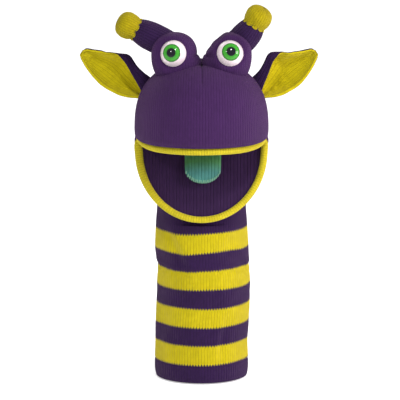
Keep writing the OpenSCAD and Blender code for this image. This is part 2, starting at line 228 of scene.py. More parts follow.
# z runs out along the gaze, from the flat back of the eye
EYE_SET = 4.19
EYES = {
    "left": Frame((30.0, -49, HINGE[2] + 101.2), turned("Z", 6) @ turned("X", 90 - 22)),
    "right": Frame((-29.0, -49, HINGE[2] + 101.4), turned("Z", -14) @ turned("X", 90 - 15)),
}
for eye in EYES.values():
    eye.origin = eye.out(0, 0, EYE_SET)

# x runs from the root to the tip, z across the leaf and -y out of its hollow side
EAR = Frame(EAR_ROOT, turned("Y", -30.2))

# --- Knitting ---

def stitch_height(wale, course):
    """Relief of stocking stitch from 0 to 1: two legs that lean apart in every wale."""
    across = np.abs(wale - np.floor(wale) - 0.5) * 2
    phase = course - STITCH_SLANT * across
    phase = phase - np.floor(phase)
    wale_shape = (1 - across**4) * (1 - 0.35 * np.exp(-((across / 0.25) ** 2)))
    return wale_shape * (0.5 + 0.5 * np.sin(np.pi * phase))


def normals(grid, closed):
    """Outward normals of a grid whose columns turn anticlockwise about the way its rows climb."""
    if closed:
        across = np.roll(grid, -1, axis=1) - np.roll(grid, 1, axis=1)
    else:
        across = np.gradient(grid, axis=1)
    along = np.gradient(grid, axis=0)
    return unit(np.cross(across, along))


def grid_object(name, grids, body=None):
    """One mesh from grids of (points, wale, course, closed, flip), joined where their edges meet."""
    vertices, faces, maps = [], [], []
    base = 0
    for points, wale, course, closed, flip in grids:
        rows, columns = points.shape[:2]
        wale = np.broadcast_to(wale, (rows, columns + (1 if closed else 0)))
        course = np.broadcast_to(course, (rows, columns + (1 if closed else 0)))
        i, j = np.meshgrid(np.arange(rows - 1), np.arange(columns if closed else columns - 1), indexing="ij")
        right = (j + 1) % columns
        corners = [(i, j, j), (i, right, j + 1), (i + 1, right, j + 1), (i + 1, j, j)]
        if flip:
            corners = corners[::-1]
        faces.append(np.stack([base + r * columns + c for r, c, _ in corners], axis=-1).reshape(-1, 4))
        counts = [np.stack([wale[r, m], course[r, m]], -1) for r, _, m in corners]
        maps.append(np.stack(counts, axis=-2).reshape(-1, 2))
        vertices.append(points.reshape(-1, 3) * MM)
        base += rows * columns
    vertices, faces, maps = np.vstack(vertices), np.vstack(faces), np.vstack(maps)
    mesh = bpy.data.meshes.new(name)
    mesh.vertices.add(len(vertices))
    mesh.vertices.foreach_set("co", vertices.ravel())
    mesh.loops.add(faces.size)
    mesh.loops.foreach_set("vertex_index", faces.ravel())
    mesh.polygons.add(len(faces))
    mesh.polygons.foreach_set("loop_start", np.arange(len(faces)) * 4)
    mesh.update(calc_edges=True)
    mesh.uv_layers.new(name="Knit").data.foreach_set("uv", maps.astype(np.float32).ravel())
    mesh.polygons.foreach_set("use_smooth", np.ones(len(faces), bool))
    mesh.validate()
    obj = bpy.data.objects.new(name, mesh)
    bpy.context.scene.collection.objects.link(obj)
    weld(obj)
    if body:
        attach(obj, body)
    return obj


def weld(obj, gap=0.01 * MM):
    """Joins vertices that lie together, such as those along a seam between two grids."""
    work = bmesh.new()
    work.from_mesh(obj.data)
    bmesh.ops.remove_doubles(work, verts=work.verts, dist=gap)
    work.to_mesh(obj.data)
    work.free()
    obj.data.update()


def counted(columns, closed):
    """Wale count at each column, with one more at the end of a closed grid."""
    return np.arange(columns + (1 if closed else 0))[None, :] / COLUMNS_PER_WALE


# --- Cloth ---

def settled(points, closed, pinned, growth=0.02, pressure=2.0, cap=3.0, frames=20):
    """How far each point of a coarse grid moves when it is inflated as cloth. Pinned rows stay."""
    rows, columns = points.shape[:2]
    wale = counted(columns, closed)
    obj = grid_object("settling", [(points, wale, np.zeros((rows, 1)), closed, False)])
    start = np.array([v.co for v in obj.data.vertices], float)
    flat = points.reshape(-1, 3) * MM
    group = obj.vertex_groups.new(name="pinned")
    held = np.zeros((rows, columns), bool)
    held[list(pinned)] = True
    held_points = flat[held.ravel()]
    for vertex in obj.data.vertices:
        if np.min(np.linalg.norm(held_points - np.array(vertex.co), axis=1)) < 0.05 * MM:
            group.add([vertex.index], 1.0, "REPLACE")
    cloth = obj.modifiers.new("Cloth", "CLOTH")
    cloth.settings.vertex_group_mass = "pinned"
    cloth.settings.quality = 5
    cloth.settings.mass = 0.15
    cloth.settings.tension_stiffness = 12
    cloth.settings.compression_stiffness = 12
    cloth.settings.bending_stiffness = 0.3
    cloth.settings.shrink_min = -growth
    cloth.settings.use_pressure = True
    cloth.settings.uniform_pressure_force = pressure
    cloth.settings.effector_weights.gravity = 0
    cloth.collision_settings.use_collision = False
    scene = bpy.context.scene
    for step in range(1, frames + 1):
        scene.frame_set(step)
    moved_mesh = obj.evaluated_get(bpy.context.evaluated_depsgraph_get()).to_mesh()
    moved = np.array([v.co for v in moved_mesh.vertices], float)
    shift = moved - start
    nearest = [int(np.argmin(((start - p) ** 2).sum(1))) for p in flat]
    shift = shift[nearest].reshape(points.shape) / MM
    bpy.data.objects.remove(obj)
    scene.frame_set(1)
    size = np.linalg.norm(shift, axis=-1, keepdims=True)
    return shift * np.minimum(1, cap / np.maximum(size, 1e-6))


def spread(shift, rows, columns, closed):
    """A coarse grid's shift carried smoothly to a finer grid over the same piece."""
    def along(field, count, wrap):
        n = len(field)
        if wrap:
            place = np.arange(count) / count * n
        else:
            place = np.linspace(0, n - 1, count)
        start = np.floor(place).astype(int)
        f = (place - start)[:, None, None]
        near = [start + k for k in (-1, 0, 1, 2)]
        near = [k % n if wrap else np.clip(k, 0, n - 1) for k in near]
        return catmull_rom(*(field[k] for k in near), f)

    field = along(shift, rows, False)
    return along(field.swapaxes(0, 1), columns, closed).swapaxes(0, 1)


# --- Materials ---

class Shader:
    """A material whose nodes are joined as they are added."""

    def __init__(self, name):
        self.material = bpy.data.materials.new(name)
        self.material.use_nodes = True
        self.tree = self.material.node_tree
        self.surface = self.tree.nodes["Principled BSDF"]

    def node(self, kind, inputs=None, **settings):
        made = self.tree.nodes.new(kind)
        for key, value in settings.items():
            setattr(made, key, value)
        for key, value in (inputs or {}).items():
            self.put(made.inputs[key], value)
        return made

    def put(self, socket, value):
        if isinstance(value, bpy.types.NodeSocket):
            self.tree.links.new(value, socket)
        else:
            socket.default_value = value

    def math(self, operation, a, b=None):
        made = self.tree.nodes.new("ShaderNodeMath")
        made.operation = operation
        for socket, value in zip(made.inputs, (a, b)):
            if value is not None:
                self.put(socket, value)
        return made.outputs[0]

    def blend(self, factor, a, b, how="MIX"):
        made = self.tree.nodes.new("ShaderNodeMix")
        made.data_type = "RGBA"
        made.blend_type = how
        self.put(made.inputs[0], factor)
        self.put(made.inputs[6], a)
        self.put(made.inputs[7], b)
        return made.outputs[2]

    def span(self, value, from_low, from_high, to_low, to_high):
        made = self.node("ShaderNodeMapRange", {"Value": value, "From Min": from_low, "From Max": from_high,
                                                "To Min": to_low, "To Max": to_high})
        return made.outputs[0]

    def noise(self, scale, detail=3.0, vector=None, roughness=0.6):
        inputs = {"Scale": scale, "Detail": detail, "Roughness": roughness}
        if vector is not None:
            inputs["Vector"] = vector
        return self.node("ShaderNodeTexNoise", inputs).outputs["Fac"]

    def place(self):
        return self.node("ShaderNodeTexCoord").outputs["Object"]

    def counts(self):
        return self.node("ShaderNodeUVMap", uv_map="Knit").outputs["UV"]

    def grey(self, value):
        return self.node("ShaderNodeCombineXYZ", {"X": value, "Y": value, "Z": value}).outputs[0]

    def bump(self, height, distance, strength):
        inputs = {"Height": height, "Distance": distance, "Strength": strength}
        return self.node("ShaderNodeBump", inputs).outputs["Normal"]


def linear(r, g, b):
    """An sRGB colour given from 0 to 255, as the linear values that Blender works in."""
    bright = [((c / 255 + 0.055) / 1.055) ** 2.4 if c > 10 else c / 255 / 12.92 for c in (r, g, b)]
    return (*bright, 1.0)


PURPLE = linear(54, 28, 70)
SLEEVE_PURPLE = linear(40, 20, 58)
YELLOW = linear(176, 162, 10)
# the same yellow yarn as the ears, made darker on the pompoms: painted shade
POMPOM_YELLOW_SHADED = linear(150, 136, 6)
LIP_YELLOW = linear(190, 176, 34)
LINING = linear(49, 28, 64)
TEAL = linear(80, 142, 84)
TEAL_TIP = linear(84, 152, 142)
YELLOW_FUZZ = (1, 0.97, 0.6, 1)


def knit_material(name, base, stripe=None, fuzz=0.1, tint=(0.9, 0.6, 0.85, 1), relief=0.7,
                  groove_shade_depth=0.5, tip=None):
    """Stocking stitch drawn from the Knit map. stripe = (other colour, first course, courses each),
    and tip = (other colour, course where it starts, course where it is full)."""
    s = Shader(name)
    split = s.node("ShaderNodeSeparateXYZ", {"Vector": s.counts()})
    wale, course = split.outputs["X"], split.outputs["Y"]
    side = s.math("MULTIPLY", s.math("ABSOLUTE", s.math("SUBTRACT", s.math("FRACT", wale), 0.5)), 2.0)
    lifted = s.math("SUBTRACT", course, s.math("MULTIPLY", side, STITCH_SLANT))
    leg = s.math("SINE", s.math("MULTIPLY", s.math("FRACT", lifted), math.pi))
    groove = s.math("SUBTRACT", 1.0, s.math("POWER", side, 4.0))
    dip = s.math("POWER", s.math("SUBTRACT", 1.0, side), 6.0)
    middle = s.math("SUBTRACT", 1.0, s.math("MULTIPLY", dip, 0.45))
    ridge = s.math("MULTIPLY", groove, middle)
    height = s.math("MULTIPLY", ridge, s.span(leg, 0.0, 1.0, 0.45, 1.0))
    place = s.place()
    fibre = s.noise(2600.0, 4.0, place, 0.7)
    patch = s.noise(28.0, 3.0, place)
    height = s.math("ADD", height, s.math("MULTIPLY", fibre, 0.22))
    # one number for each stitch, so that no two are quite the same shade
    stitch = s.node("ShaderNodeCombineXYZ", {"X": s.math("FLOOR", wale), "Y": s.math("FLOOR", lifted)})
    chance = s.node("ShaderNodeTexWhiteNoise", {"Vector": stitch.outputs[0]}, noise_dimensions="3D")
    colour = s.blend(0.0, base, base)
    if stripe:
        other, first, each = stripe
        turn = s.math("DIVIDE", s.math("SUBTRACT", s.math("FLOOR", lifted), first), each)
        odd = s.math("LESS_THAN", s.math("FRACT", s.math("MULTIPLY", turn, 0.5)), 0.5)
        after = s.math("GREATER_THAN", turn, -0.001)
        colour = s.blend(s.math("MULTIPLY", odd, after), base, other)
    if tip:
        other, first, last = tip
        colour = s.blend(s.span(course, first, last, 0.0, 1.0), colour, other)
    # painted shade and painted light: the colour darkens in the grooves between stitches and lightens on
    # their raised legs, by the given depth; the per-stitch and patch tones below are the yarn's own
    shade = s.span(height, 0.05, 1.05, 1.0 - groove_shade_depth, 1.12)
    shade = s.math("MULTIPLY", shade, s.span(chance.outputs["Value"], 0.0, 1.0, 0.92, 1.07))
    shade = s.math("MULTIPLY", shade, s.span(patch, 0.3, 0.7, 0.93, 1.07))
    s.put(s.surface.inputs["Base Color"], s.blend(1.0, colour, s.grey(shade), "MULTIPLY"))
    s.put(s.surface.inputs["Roughness"], s.span(fibre, 0.3, 0.7, 0.82, 0.98))
    s.surface.inputs["Specular IOR Level"].default_value = 0.12
    s.surface.inputs["Sheen Weight"].default_value = fuzz
    s.surface.inputs["Sheen Roughness"].default_value = 0.45
    s.surface.inputs["Sheen Tint"].default_value = tint
    s.put(s.surface.inputs["Normal"], s.bump(height, relief * MM, 0.8))
    return s.material


def thread_material(name, base):
    """Plied sewing thread: fine twisted strands along the piece, with painted shade in the grooves between
    the strands and a fine fibre tone.
    """
    s = Shader(name)
    place = s.place()
    strands = s.node("ShaderNodeTexWave", {"Vector": place, "Scale": 900.0, "Distortion": 1.5}).outputs["Fac"]
    fibre = s.noise(3000.0, 3.0, place)
    # painted shade: the colour darkens where the strand wave dips between strands, and with the fibre's own
    # fine tone
    strand_groove_shade = tuple(c * 0.55 for c in base[:3]) + (1,)
    s.put(s.surface.inputs["Base Color"], s.blend(s.math("MULTIPLY", strands, fibre), strand_groove_shade, base))
    s.put(s.surface.inputs["Roughness"], s.span(fibre, 0.3, 0.7, 0.7, 0.95))
    s.put(s.surface.inputs["Normal"], s.bump(strands, 0.0002, 0.7))
    return s.material


def moulded(name, low_colour, high_colour, roughness, scale=300.0, coat=0.0, grain=0.00002, gloss=0.5):
    """Moulded plastic or board: a slight drift of colour and a fine skin."""
    s = Shader(name)
    place = s.place()
    drift = s.noise(scale, 3.0, place)
    s.put(s.surface.inputs["Base Color"], s.blend(drift, low_colour, high_colour))
    s.put(s.surface.inputs["Roughness"], s.span(drift, 0.3, 0.7, roughness * 0.8, roughness * 1.2))
    s.surface.inputs["Specular IOR Level"].default_value = gloss
    s.surface.inputs["Coat Weight"].default_value = coat
    s.surface.inputs["Coat Roughness"].default_value = 0.01
    s.put(s.surface.inputs["Normal"], s.bump(s.noise(scale * 8, 2.0, place), grain, 0.4))
    return s.material


def iris_material():
    """Printed iris: bright green with fine spokes and a darker rim. The Knit map's second number runs
    from 0 at the pupil to 1 at the rim, and its first goes round."""
    s = Shader("iris_green")
    split = s.node("ShaderNodeSeparateXYZ", {"Vector": s.counts()})
    ramp = s.node("ShaderNodeValToRGB", {"Fac": split.outputs["Y"]})
    stops = [(0.0, linear(26, 84, 20)), (0.15, linear(44, 128, 32)), (0.55, linear(54, 146, 38)),
             (0.85, linear(38, 112, 28)), (1.0, linear(18, 54, 16))]
    fill_ramp(ramp, stops)
    spokes = s.node("ShaderNodeCombineXYZ", {"X": s.math("MULTIPLY", split.outputs["X"], 60.0),
                                             "Y": s.math("MULTIPLY", split.outputs["Y"], 1.5)})
    streak = s.span(s.noise(1.0, 3.0, spokes.outputs[0]), 0.35, 0.65, 0.8, 1.15)
    s.put(s.surface.inputs["Base Color"], s.blend(1.0, ramp.outputs["Color"], s.grey(streak), "MULTIPLY"))
    s.surface.inputs["Roughness"].default_value = 0.35
    s.surface.inputs["Specular IOR Level"].default_value = 0.1
    s.surface.inputs["Coat Weight"].default_value = 0.4
    s.surface.inputs["Coat Roughness"].default_value = 0.02
    return s.material


def fill_ramp(ramp, stops):
    elements = ramp.color_ramp.elements
    while len(elements) < len(stops):
        elements.new(0.5)
    for element, (position, colour) in zip(elements, stops):
        element.position = position
        element.color = colour


MATERIALS = {
    "sleeve": knit_material("sleeve_stripes", SLEEVE_PURPLE, stripe=(YELLOW, HEM_COURSES, 9), groove_shade_depth=0.34),
    "purple": knit_material("head_purple_knit", PURPLE, fuzz=0.1, relief=0.5, groove_shade_depth=0.3),
    "nape": knit_material("nape_purple_knit", SLEEVE_PURPLE, groove_shade_depth=0.36, tip=(PURPLE, 78.0, 96.0)),
    "dark_purple": knit_material("horn_purple_knit", SLEEVE_PURPLE, groove_shade_depth=0.6),
    "yellow": knit_material("yellow_knit", YELLOW, tint=YELLOW_FUZZ, relief=0.4, groove_shade_depth=0.25),
    "pompom": knit_material("pompom_yellow_knit", POMPOM_YELLOW_SHADED, tint=YELLOW_FUZZ, relief=0.5, groove_shade_depth=0.4),
    "lip": knit_material("lip_yellow_knit", LIP_YELLOW, tint=YELLOW_FUZZ, groove_shade_depth=0.55),
    "lining": knit_material("mouth_ribbing", LINING, relief=1.2, groove_shade_depth=0.6),
    "teal": knit_material("tongue_knit", TEAL, tint=(0.8, 1, 0.95, 1), relief=1.0, tip=(TEAL_TIP, 9.0, 15.0)),
    "dark_thread": thread_material("dark_thread", linear(34, 22, 44)),
    "pale_thread": thread_material("pale_thread", linear(140, 205, 170)),
    "eye_white": moulded("eye_white", linear(206, 192, 196), linear(216, 204, 206), 0.3, coat=0.5),
    "eye_black": moulded("eye_black", linear(8, 9, 14), linear(14, 16, 26), 0.3, coat=0.7, gloss=0.0),
    "iris": iris_material(),
    "washer": moulded("washer_plastic", linear(215, 215, 212), linear(235, 235, 232), 0.45),
    "board": moulded("grey_board", linear(168, 140, 100), linear(205, 180, 138), 0.9, 160.0, grain=0.0001),
    "pocket": knit_material("pocket_cloth", linear(50, 36, 66)),
    "filling": moulded("loose_filling", linear(222, 220, 214), linear(246, 245, 240), 0.98, 240.0,
                       grain=0.001),
}


def dress(obj, material):
    obj.data.materials.clear()
    obj.data.materials.append(MATERIALS[material])


# --- Sleeve and neck ---

def arm_radius(z):
    """Outline of the striped arm, a little slack between the hem and the wrist."""
    levels = np.array([0, 8, 19, 37, 55, 76, 90, 103, 116, 130, 142, 155, 172, 183])
    radii = np.array([48.6, 49.7, 49.5, 48.8, 49.4, 49.7, 49.3, 49.9, 49.3, 49.6, 50.0, 49.4, 48.4, 47.4])
    near = np.linspace(-4, 4, 5)
    return np.mean([np.interp(z + d, levels, radii) for d in near], axis=0)


def arm_lean(z):
    """How far the slack arm leans to its left side at each level."""
    levels = np.array([0, 14, 37, 63, 76, 90, 103, 116, 130, 142, 160])
    shift = np.array([0, 0, -0.3, 0.8, 1.7, 2.3, 2.3, 2.1, 1.0, 0.3, 0])
    return np.mean([np.interp(z + d, levels, shift) for d in (-4, -2, 0, 2, 4)], axis=0)


def arm_wave(points):
    """How far the stripes dip and rise where the slack cloth is dragged aside."""
    angle = np.degrees(np.arctan2(points[..., 0], -points[..., 1]))
    waves = [(-27, 22, 148, 34, -2.4), (34, 24, 150, 40, 0.9), (16, 26, 76, 22, -1.1), (55, 22, 30, 22, 1.2),
             (-60, 22, 40, 24, 0.9), (140, 40, 90, 40, 1.8), (-150, 36, 60, 36, -1.6)]
    total = np.zeros(points.shape[:2])
    for where, wide, level, tall, lift in waves:
        gone = (angle - where + 180) % 360 - 180
        total += lift * np.exp(-((gone / wide) ** 2) - ((points[..., 2] - level) / tall) ** 2)
    return total


def arm_course(z):
    return HEM_COURSES + (z - HEM_H) / COURSE


def arm_grid(z, columns):
    """Rings of the arm at the given levels. Columns start at the back and go anticlockwise."""
    turn = np.arange(columns) / columns
    angle = np.pi / 2 + 2 * np.pi * turn
    radius = arm_radius(z)[:, None] + 0.0 * angle
    return np.stack([radius * np.cos(angle), radius * np.sin(angle), z[:, None] + 0.0 * angle], axis=-1)


def arm_folds(points):
    """Soft dents and folds in the sleeve, each a listed crease: angle from the front, level,
    lean, length, width and depth."""
    folds = [(-37, 150, -58, 44, 6, 2.4), (-60, 132, 20, 30, 8, 1.6), (27, 44, 84, 34, 5, 1.5),
             (10, 100, -62, 34, 8, 1.1), (52, 128, -40, 38, 9, 1.7), (-56, 60, 70, 30, 8, 1.3),
             (56, 92, 10, 26, 7, 1.2), (-34, 92, 15, 30, 8, 0.9), (40, 150, 40, 30, 8, 1.2),
             (125, 60, 60, 46, 10, 2.0), (-130, 96, -50, 44, 10, 2.0), (170, 122, 20, 40, 9, 1.8)]
    angle = np.degrees(np.arctan2(points[..., 0], -points[..., 1]))
    depth = np.zeros(points.shape[:2])
    for where, level, lean, length, width, deep in folds:
        gone = (angle - where + 180) % 360 - 180
        x, z = np.radians(gone) * SLEEVE_R, points[..., 2] - level
        lean = math.radians(lean)
        along = x * math.cos(lean) + z * math.sin(lean)
        across = -x * math.sin(lean) + z * math.cos(lean) + 0.004 * along**2
        fade = np.exp(-((along / length * 1.6) ** 2))
        dent = np.exp(-((across / width) ** 2))
        ridge = np.exp(-(((across - 1.6 * width) / width) ** 2))
        depth += deep * fade * (dent - 0.6 * ridge)
    return depth


def draped_arm(points, z):
    """The arm with its lean, folds and dragged stripes, which die away at the hem and at the neck."""
    ends = (smooth(z / 14) * smooth((NECK_TOP - z) / 14))[:, None]
    facing = unit(points * np.array([1, 1, 0]))
    points = points - facing * (arm_folds(points) * ends)[..., None]
    points[..., 2] += arm_wave(points) * ends
    points[..., 0] += arm_lean(z)[:, None]
    return points


ARM_RELIEF = 0.3
ARM_CLOTH = 1.7  # from the right side of the arm's knitting to its wrong side


def right_side(points, z):
    """A tube knitted in the round: it climbs by one course a turn, and steps at the back."""
    columns = points.shape[1]
    turn = np.arange(columns + 1) / columns
    course = arm_course(z)[:, None] - (turn - 0.5)[None, :]
    wale = np.broadcast_to(counted(columns, True), course.shape)
    heights = stitch_height(wale[:, :columns], course[:, :columns]) * ARM_RELIEF
    return points + normals(points, True) * heights[..., None], wale, course, True, False


def wrong_side(z, inset, columns):
    """The inside of the arm, set in from its outline by the given distance at each level."""
    level = np.maximum(z, 0)
    points = arm_grid(level, columns)
    points = points - unit(points * np.array([1, 1, 0])) * np.reshape(inset, (-1, 1, 1))
    course = np.broadcast_to(arm_course(z)[:, None], (len(z), columns + 1))
    wale = np.broadcast_to(counted(columns, True), course.shape)
    return draped_arm(points, z), wale, course, True, True


def build_sleeve():
    columns = SLEEVE_WALES * COLUMNS_PER_WALE
    rows = int(round(SLEEVE_TOP / COURSE * 3))
    z = np.linspace(0, SLEEVE_TOP, rows)
    points = arm_grid(z, columns)
    coarse = arm_grid(np.linspace(0, SLEEVE_TOP, 36), 72)
    shift = settled(coarse, True, [0, 35], growth=0.008, pressure=0.6, cap=0.9)
    points = points + spread(shift, rows, columns, True)
    points = draped_arm(points, z)
    facing = unit(points * np.array([1, 1, 0]))
    # the crease where the hem is sewn up
    points = points - facing * (0.7 * np.exp(-(((z - HEM_H + 0.8) / 1.1) ** 2)))[:, None, None]
    outer = right_side(points, z)
    # the hem turns in at the bottom, and the facing and the wrong side climb the inside
    turn_in = np.array([[0.0, 0.0], [0.5, -0.9], [1.6, -1.4], [2.9, -1.0], [3.3, 0.2], [3.3, 16.6],
                        [1.9, 18.2]])
    inner_z = np.concatenate([turn_in[:, 1], np.linspace(24, SLEEVE_TOP, 30)])
    inner = wrong_side(inner_z, np.concatenate([turn_in[:, 0], np.full(30, ARM_CLOTH)]), columns)
    inner[0][0] = outer[0][0]
    obj = grid_object("sleeve_knit", [outer, inner])
    dress(obj, "sleeve")
    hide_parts("hem_band", "hem_facing", "sleeve_purple_courses", "sleeve_yellow_courses")
    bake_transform(obj)


def build_neck():
    columns = SLEEVE_WALES * COLUMNS_PER_WALE
    rows = int(round((NECK_TOP - SLEEVE_TOP) / COURSE * 3))
    z = np.linspace(SLEEVE_TOP, NECK_TOP, rows)
    outer = right_side(draped_arm(arm_grid(z, columns), z), z)
    inner = wrong_side(np.linspace(SLEEVE_TOP, NECK_TOP, 14), ARM_CLOTH, columns)
    obj = grid_object("neck_knit", [outer, inner])
    dress(obj, "sleeve")
    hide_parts("neck_yellow_courses", "neck_purple_courses")
    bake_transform(obj)


# --- Head ---

THROAT_FOOT = np.array([-47.5, TILT_Z - 12])  # y and z
THROAT_SLOPE = math.tan(math.radians(34.4))
NAPE_TOP = HINGE[2] + 4
LIP_FLOOR = 7.1  # height of the head's lower edge above the upper palate's plane


def nape_ring(z, count):
    """Outline of the head below the mouth at one level: an oval cut by the slanting throat wall."""
    t = smooth((z - TILT_Z) / (HEAD_Z - 7 - TILT_Z))
    half_w = mix(47.4, HEAD_HALF_W - 0.5, t) if z > TILT_Z else arm_radius(z)
    half_d = mix(47.4, HEAD_HALF_D - 0.5, t) if z > TILT_Z else arm_radius(z)
    centre = HEAD_Y * t
    wall = THROAT_FOOT[0] + (z - THROAT_FOOT[1]) * THROAT_SLOPE
    back = centre + half_d
    middle = max(0.0, mix(wall, back, 0.45))
    angle = np.pi / 2 + np.linspace(0, 2 * np.pi, 1440, endpoint=False)
    c, s = np.cos(angle), np.sin(angle)
    off = middle - centre
    qa = (c / half_w) ** 2 + (s / half_d) ** 2
    qb = off * s / half_d**2
    qc = (off / half_d) ** 2 - 1
    to_oval = (-qb + np.sqrt(qb**2 - qa * qc)) / qa
    to_wall = (middle - wall) / np.maximum(-s, 1e-6)
    sharp = 14
    reach = (to_oval**-sharp + to_wall**-sharp) ** (-1 / sharp)
    ring = np.stack([reach * c, middle + reach * s, np.full_like(c, z)], axis=-1)
    return resampled_ring(ring, count)


def nape_grid(levels, columns):
    return np.stack([nape_ring(z, columns) for z in levels])


def crown(rho, power=2.4):
    return (1 - np.clip(rho, 0, 1) ** power) ** (1 / power)


def build_nape():
    columns = SLEEVE_WALES * COLUMNS_PER_WALE
    rows = int(round((NAPE_TOP - NECK_TOP) / COURSE * 2.4))
    z = np.linspace(NECK_TOP, NAPE_TOP, rows)
    points = nape_grid(z, columns)
    outer = right_side(points, z)
    inner = points[::4] - normals(points, True)[::4] * 1.6
    wale, course = outer[1], outer[2]
    obj = grid_object("nape_knit", [outer, (inner, wale[::4], -course[::4] - 20, True, True)])
    dress(obj, "nape")
    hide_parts("nape_skin")
    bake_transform(obj)


def lip_droop(forward):
    """How far the upper lip sags below its palate's plane, for a distance forward of the fold."""
    return 2.6 * smooth((forward - 10) / 62)


def head_base():
    """The head's lower edge as a closed ring: the nape's back, then forward over the cheeks and lip."""
    ring = nape_ring(NAPE_TOP, SLEEVE_WALES * COLUMNS_PER_WALE)
    count = len(ring)
    corner = int(np.argmin(np.abs(ring[: count // 2, 1] - (ring[count // 2, 1] + 5))))
    size = np.array([HEAD_HALF_W, HEAD_HALF_D]) * 0.99
    q = (ring[corner, :2] - [0, HEAD_Y]) / size
    start = math.atan2(q[1], q[0])
    gap = ring[corner, :2] - (np.array([0, HEAD_Y]) + size * [math.cos(start), math.sin(start)])
    turn = np.linspace(0, 1, 4000)
    angle = mix(start, 3 * np.pi - start, turn)
    edge = np.array([0, HEAD_Y]) + size * np.stack([np.cos(angle), np.sin(angle)], axis=-1)
    near = 1 - smooth(np.minimum(turn, 1 - turn) / 0.06)
    side = np.where(turn < 0.5, 1, -1)
    edge += near[:, None] * gap * np.stack([side, np.ones_like(side)], axis=-1)
    plane = HINGE[2] + LIP_FLOOR + (HINGE[1] - edge[:, 1]) * math.tan(math.radians(PALATE_RISE))
    plane = plane - lip_droop(HINGE[1] - edge[:, 1])
    # the cheek hangs over the back corner of the jaw
    dip = smooth(1 - np.abs(edge[:, 1] + 4) / 24)
    edge[:, 0] += np.sign(edge[:, 0]) * 5.0 * dip
    height = mix(plane, NAPE_TOP, near) - 11 * dip
    lip = np.concatenate([edge, height[:, None]], axis=-1)
    travel = lengths(lip[:, None, :])[:, 0]
    wanted = int(round(travel[-1] / 3.02)) * COLUMNS_PER_WALE
    place = np.linspace(0, travel[-1], wanted + 1)[1:-1]
    front = np.stack([np.interp(place, travel, lip[:, k]) for k in range(3)], axis=-1)
    return np.vstack([ring[: corner + 1], front, ring[count - corner :]])


def head_paths(base, dense=160):
    """Columns from the head's lower edge up and over to the seam that crosses the crown from ear to ear."""
    centre = np.array([0, HEAD_Y])
    size = np.array([HEAD_HALF_W, HEAD_HALF_D])
    q = (base[:, :2] - centre) / size
    round_q = unit(q)
    seam_q = np.stack([0.86 * round_q[:, 0], 0 * round_q[:, 1]], axis=-1)
    t = np.linspace(0, 1, dense)[:, None, None]
    over_q = mix(round_q[None], seam_q[None], t)
    rho = np.linalg.norm(over_q, axis=-1)
    over = np.concatenate([centre + over_q * size, (HEAD_Z + CROWN_H * crown(rho))[..., None]], axis=-1)
    under_t = np.linspace(0, 1, 20)[:-1][:, None, None]
    widest = np.concatenate([centre + round_q * size, np.full((len(base), 1), HEAD_Z)], axis=-1)
    under = mix(base[None], widest[None], under_t)
    bulge = np.sin(under_t * np.pi / 2) - under_t
    under[..., :2] += (widest - base)[None, :, :2] * bulge
    return np.vstack([under, over])


def build_head():
    base = head_base()
    columns = len(base)
    rows = 150
    dense = head_paths(base)
    points = respaced(dense, rows)
    courses_up = lengths(points) / COURSE
    coarse_columns = 84
    pick = (np.arange(coarse_columns) / coarse_columns * columns).astype(int)
    coarse = respaced(dense[:, pick], 26)
    shift = settled(coarse, True, [0, 25], growth=0.012, pressure=2.5, cap=1.6)
    points = points + spread(shift, rows, columns, True)
    wale = np.broadcast_to(counted(columns, True), (rows, columns + 1))
    start = arm_course(base[:, 2])[None, :]
    course = start + courses_up
    course = np.concatenate([course, course[:, :1]], axis=1)
    travel = lengths(points)
    to_seam = travel[-1][None] - travel
    rim = np.minimum(1, to_seam / (2 * COURSE))
    heights = stitch_height(wale[:, :columns], course[:, :columns]) * 0.28 * smooth(rim)
    seam = 1.1 * np.exp(-((to_seam / 1.6) ** 2))
    outward = normals(points, True)
    outward[-1] = outward[-2]
    # the dart pinches the forehead between the eyes
    x, front, z = points[..., 0], points[..., 1] < HEAD_Y, points[..., 2]
    pinch = np.exp(-((x / 1.3) ** 2)) * front * smooth((z - 331) / 6)
    hollow = np.exp(-((x / 7) ** 2)) * front * smooth((z - 328) / 16)
    heights = heights - 1.0 * pinch - 0.8 * hollow
    surface = points + outward * (heights - seam)[..., None]
    # both sides of the crown seam meet on one line
    surface[-1] = points[-1] + np.array([0, 0, -1.1])
    # the lower edge turns under, towards the lip
    centre = np.array([0.0, HEAD_Y, 0.0])
    inward = unit((centre - base) * np.array([1, 1, 0]))
    under_cheek = smooth(1 - np.abs(base[:, 1] + 2) / 30)[:, None]
    tuck = np.stack([base + inward * (d + e * under_cheek) + np.array([0, 0, h])
                     for d, e, h in ((4.5, 14.0, 4.5), (3.0, 5.0, 1.6), (1.4, 1.0, -0.2))])
    tuck_course = course[:1] - np.array([[3.0], [2.0], [1.0]])
    grid = np.vstack([tuck, surface])
    all_course = np.vstack([tuck_course, course])
    all_wale = np.broadcast_to(wale[:1], all_course.shape)
    obj = grid_object("head_knit", [(grid, all_wale, all_course, True, False)], "head")
    dress(obj, "purple")
    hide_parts("head_skin")


def build_dart():
    """Running stitches that draw the forehead's dart together and end in a small knot."""
    stitches, count = 13, 156
    t = np.linspace(0, 1, count)
    y = HEAD_Y - mix(4, 49, t)
    z = HEAD_Z + CROWN_H * crown(np.abs(y - HEAD_Y) / HEAD_HALF_D)
    sunk = 1.0 * smooth((z - 331) / 6) + 0.8 * smooth((z - 328) / 16)
    beat = np.sin(np.pi * stitches * t)
    path = np.stack([0.22 * beat, y - 0.3 * t, z - sunk + 0.05 + 0.3 * beat**2], axis=-1)
    turn = np.linspace(0, 4 * np.pi, 40)
    knot = path[-1] + np.stack([0.45 * np.cos(turn) - 0.45, -0.2 + 0 * turn,
                                0.45 * np.sin(turn) - 0.03 * turn], axis=-1)
    obj = grid_object("dart_stitches", [thread(np.vstack([path, knot[1:]]), 0.3, (0, 1, 0.3))], "head")
    dress(obj, "dark_thread")
    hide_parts("forehead_dart_thread")


# --- Pieces made of knitting laid over a shape ---

RELIEF = 0.42


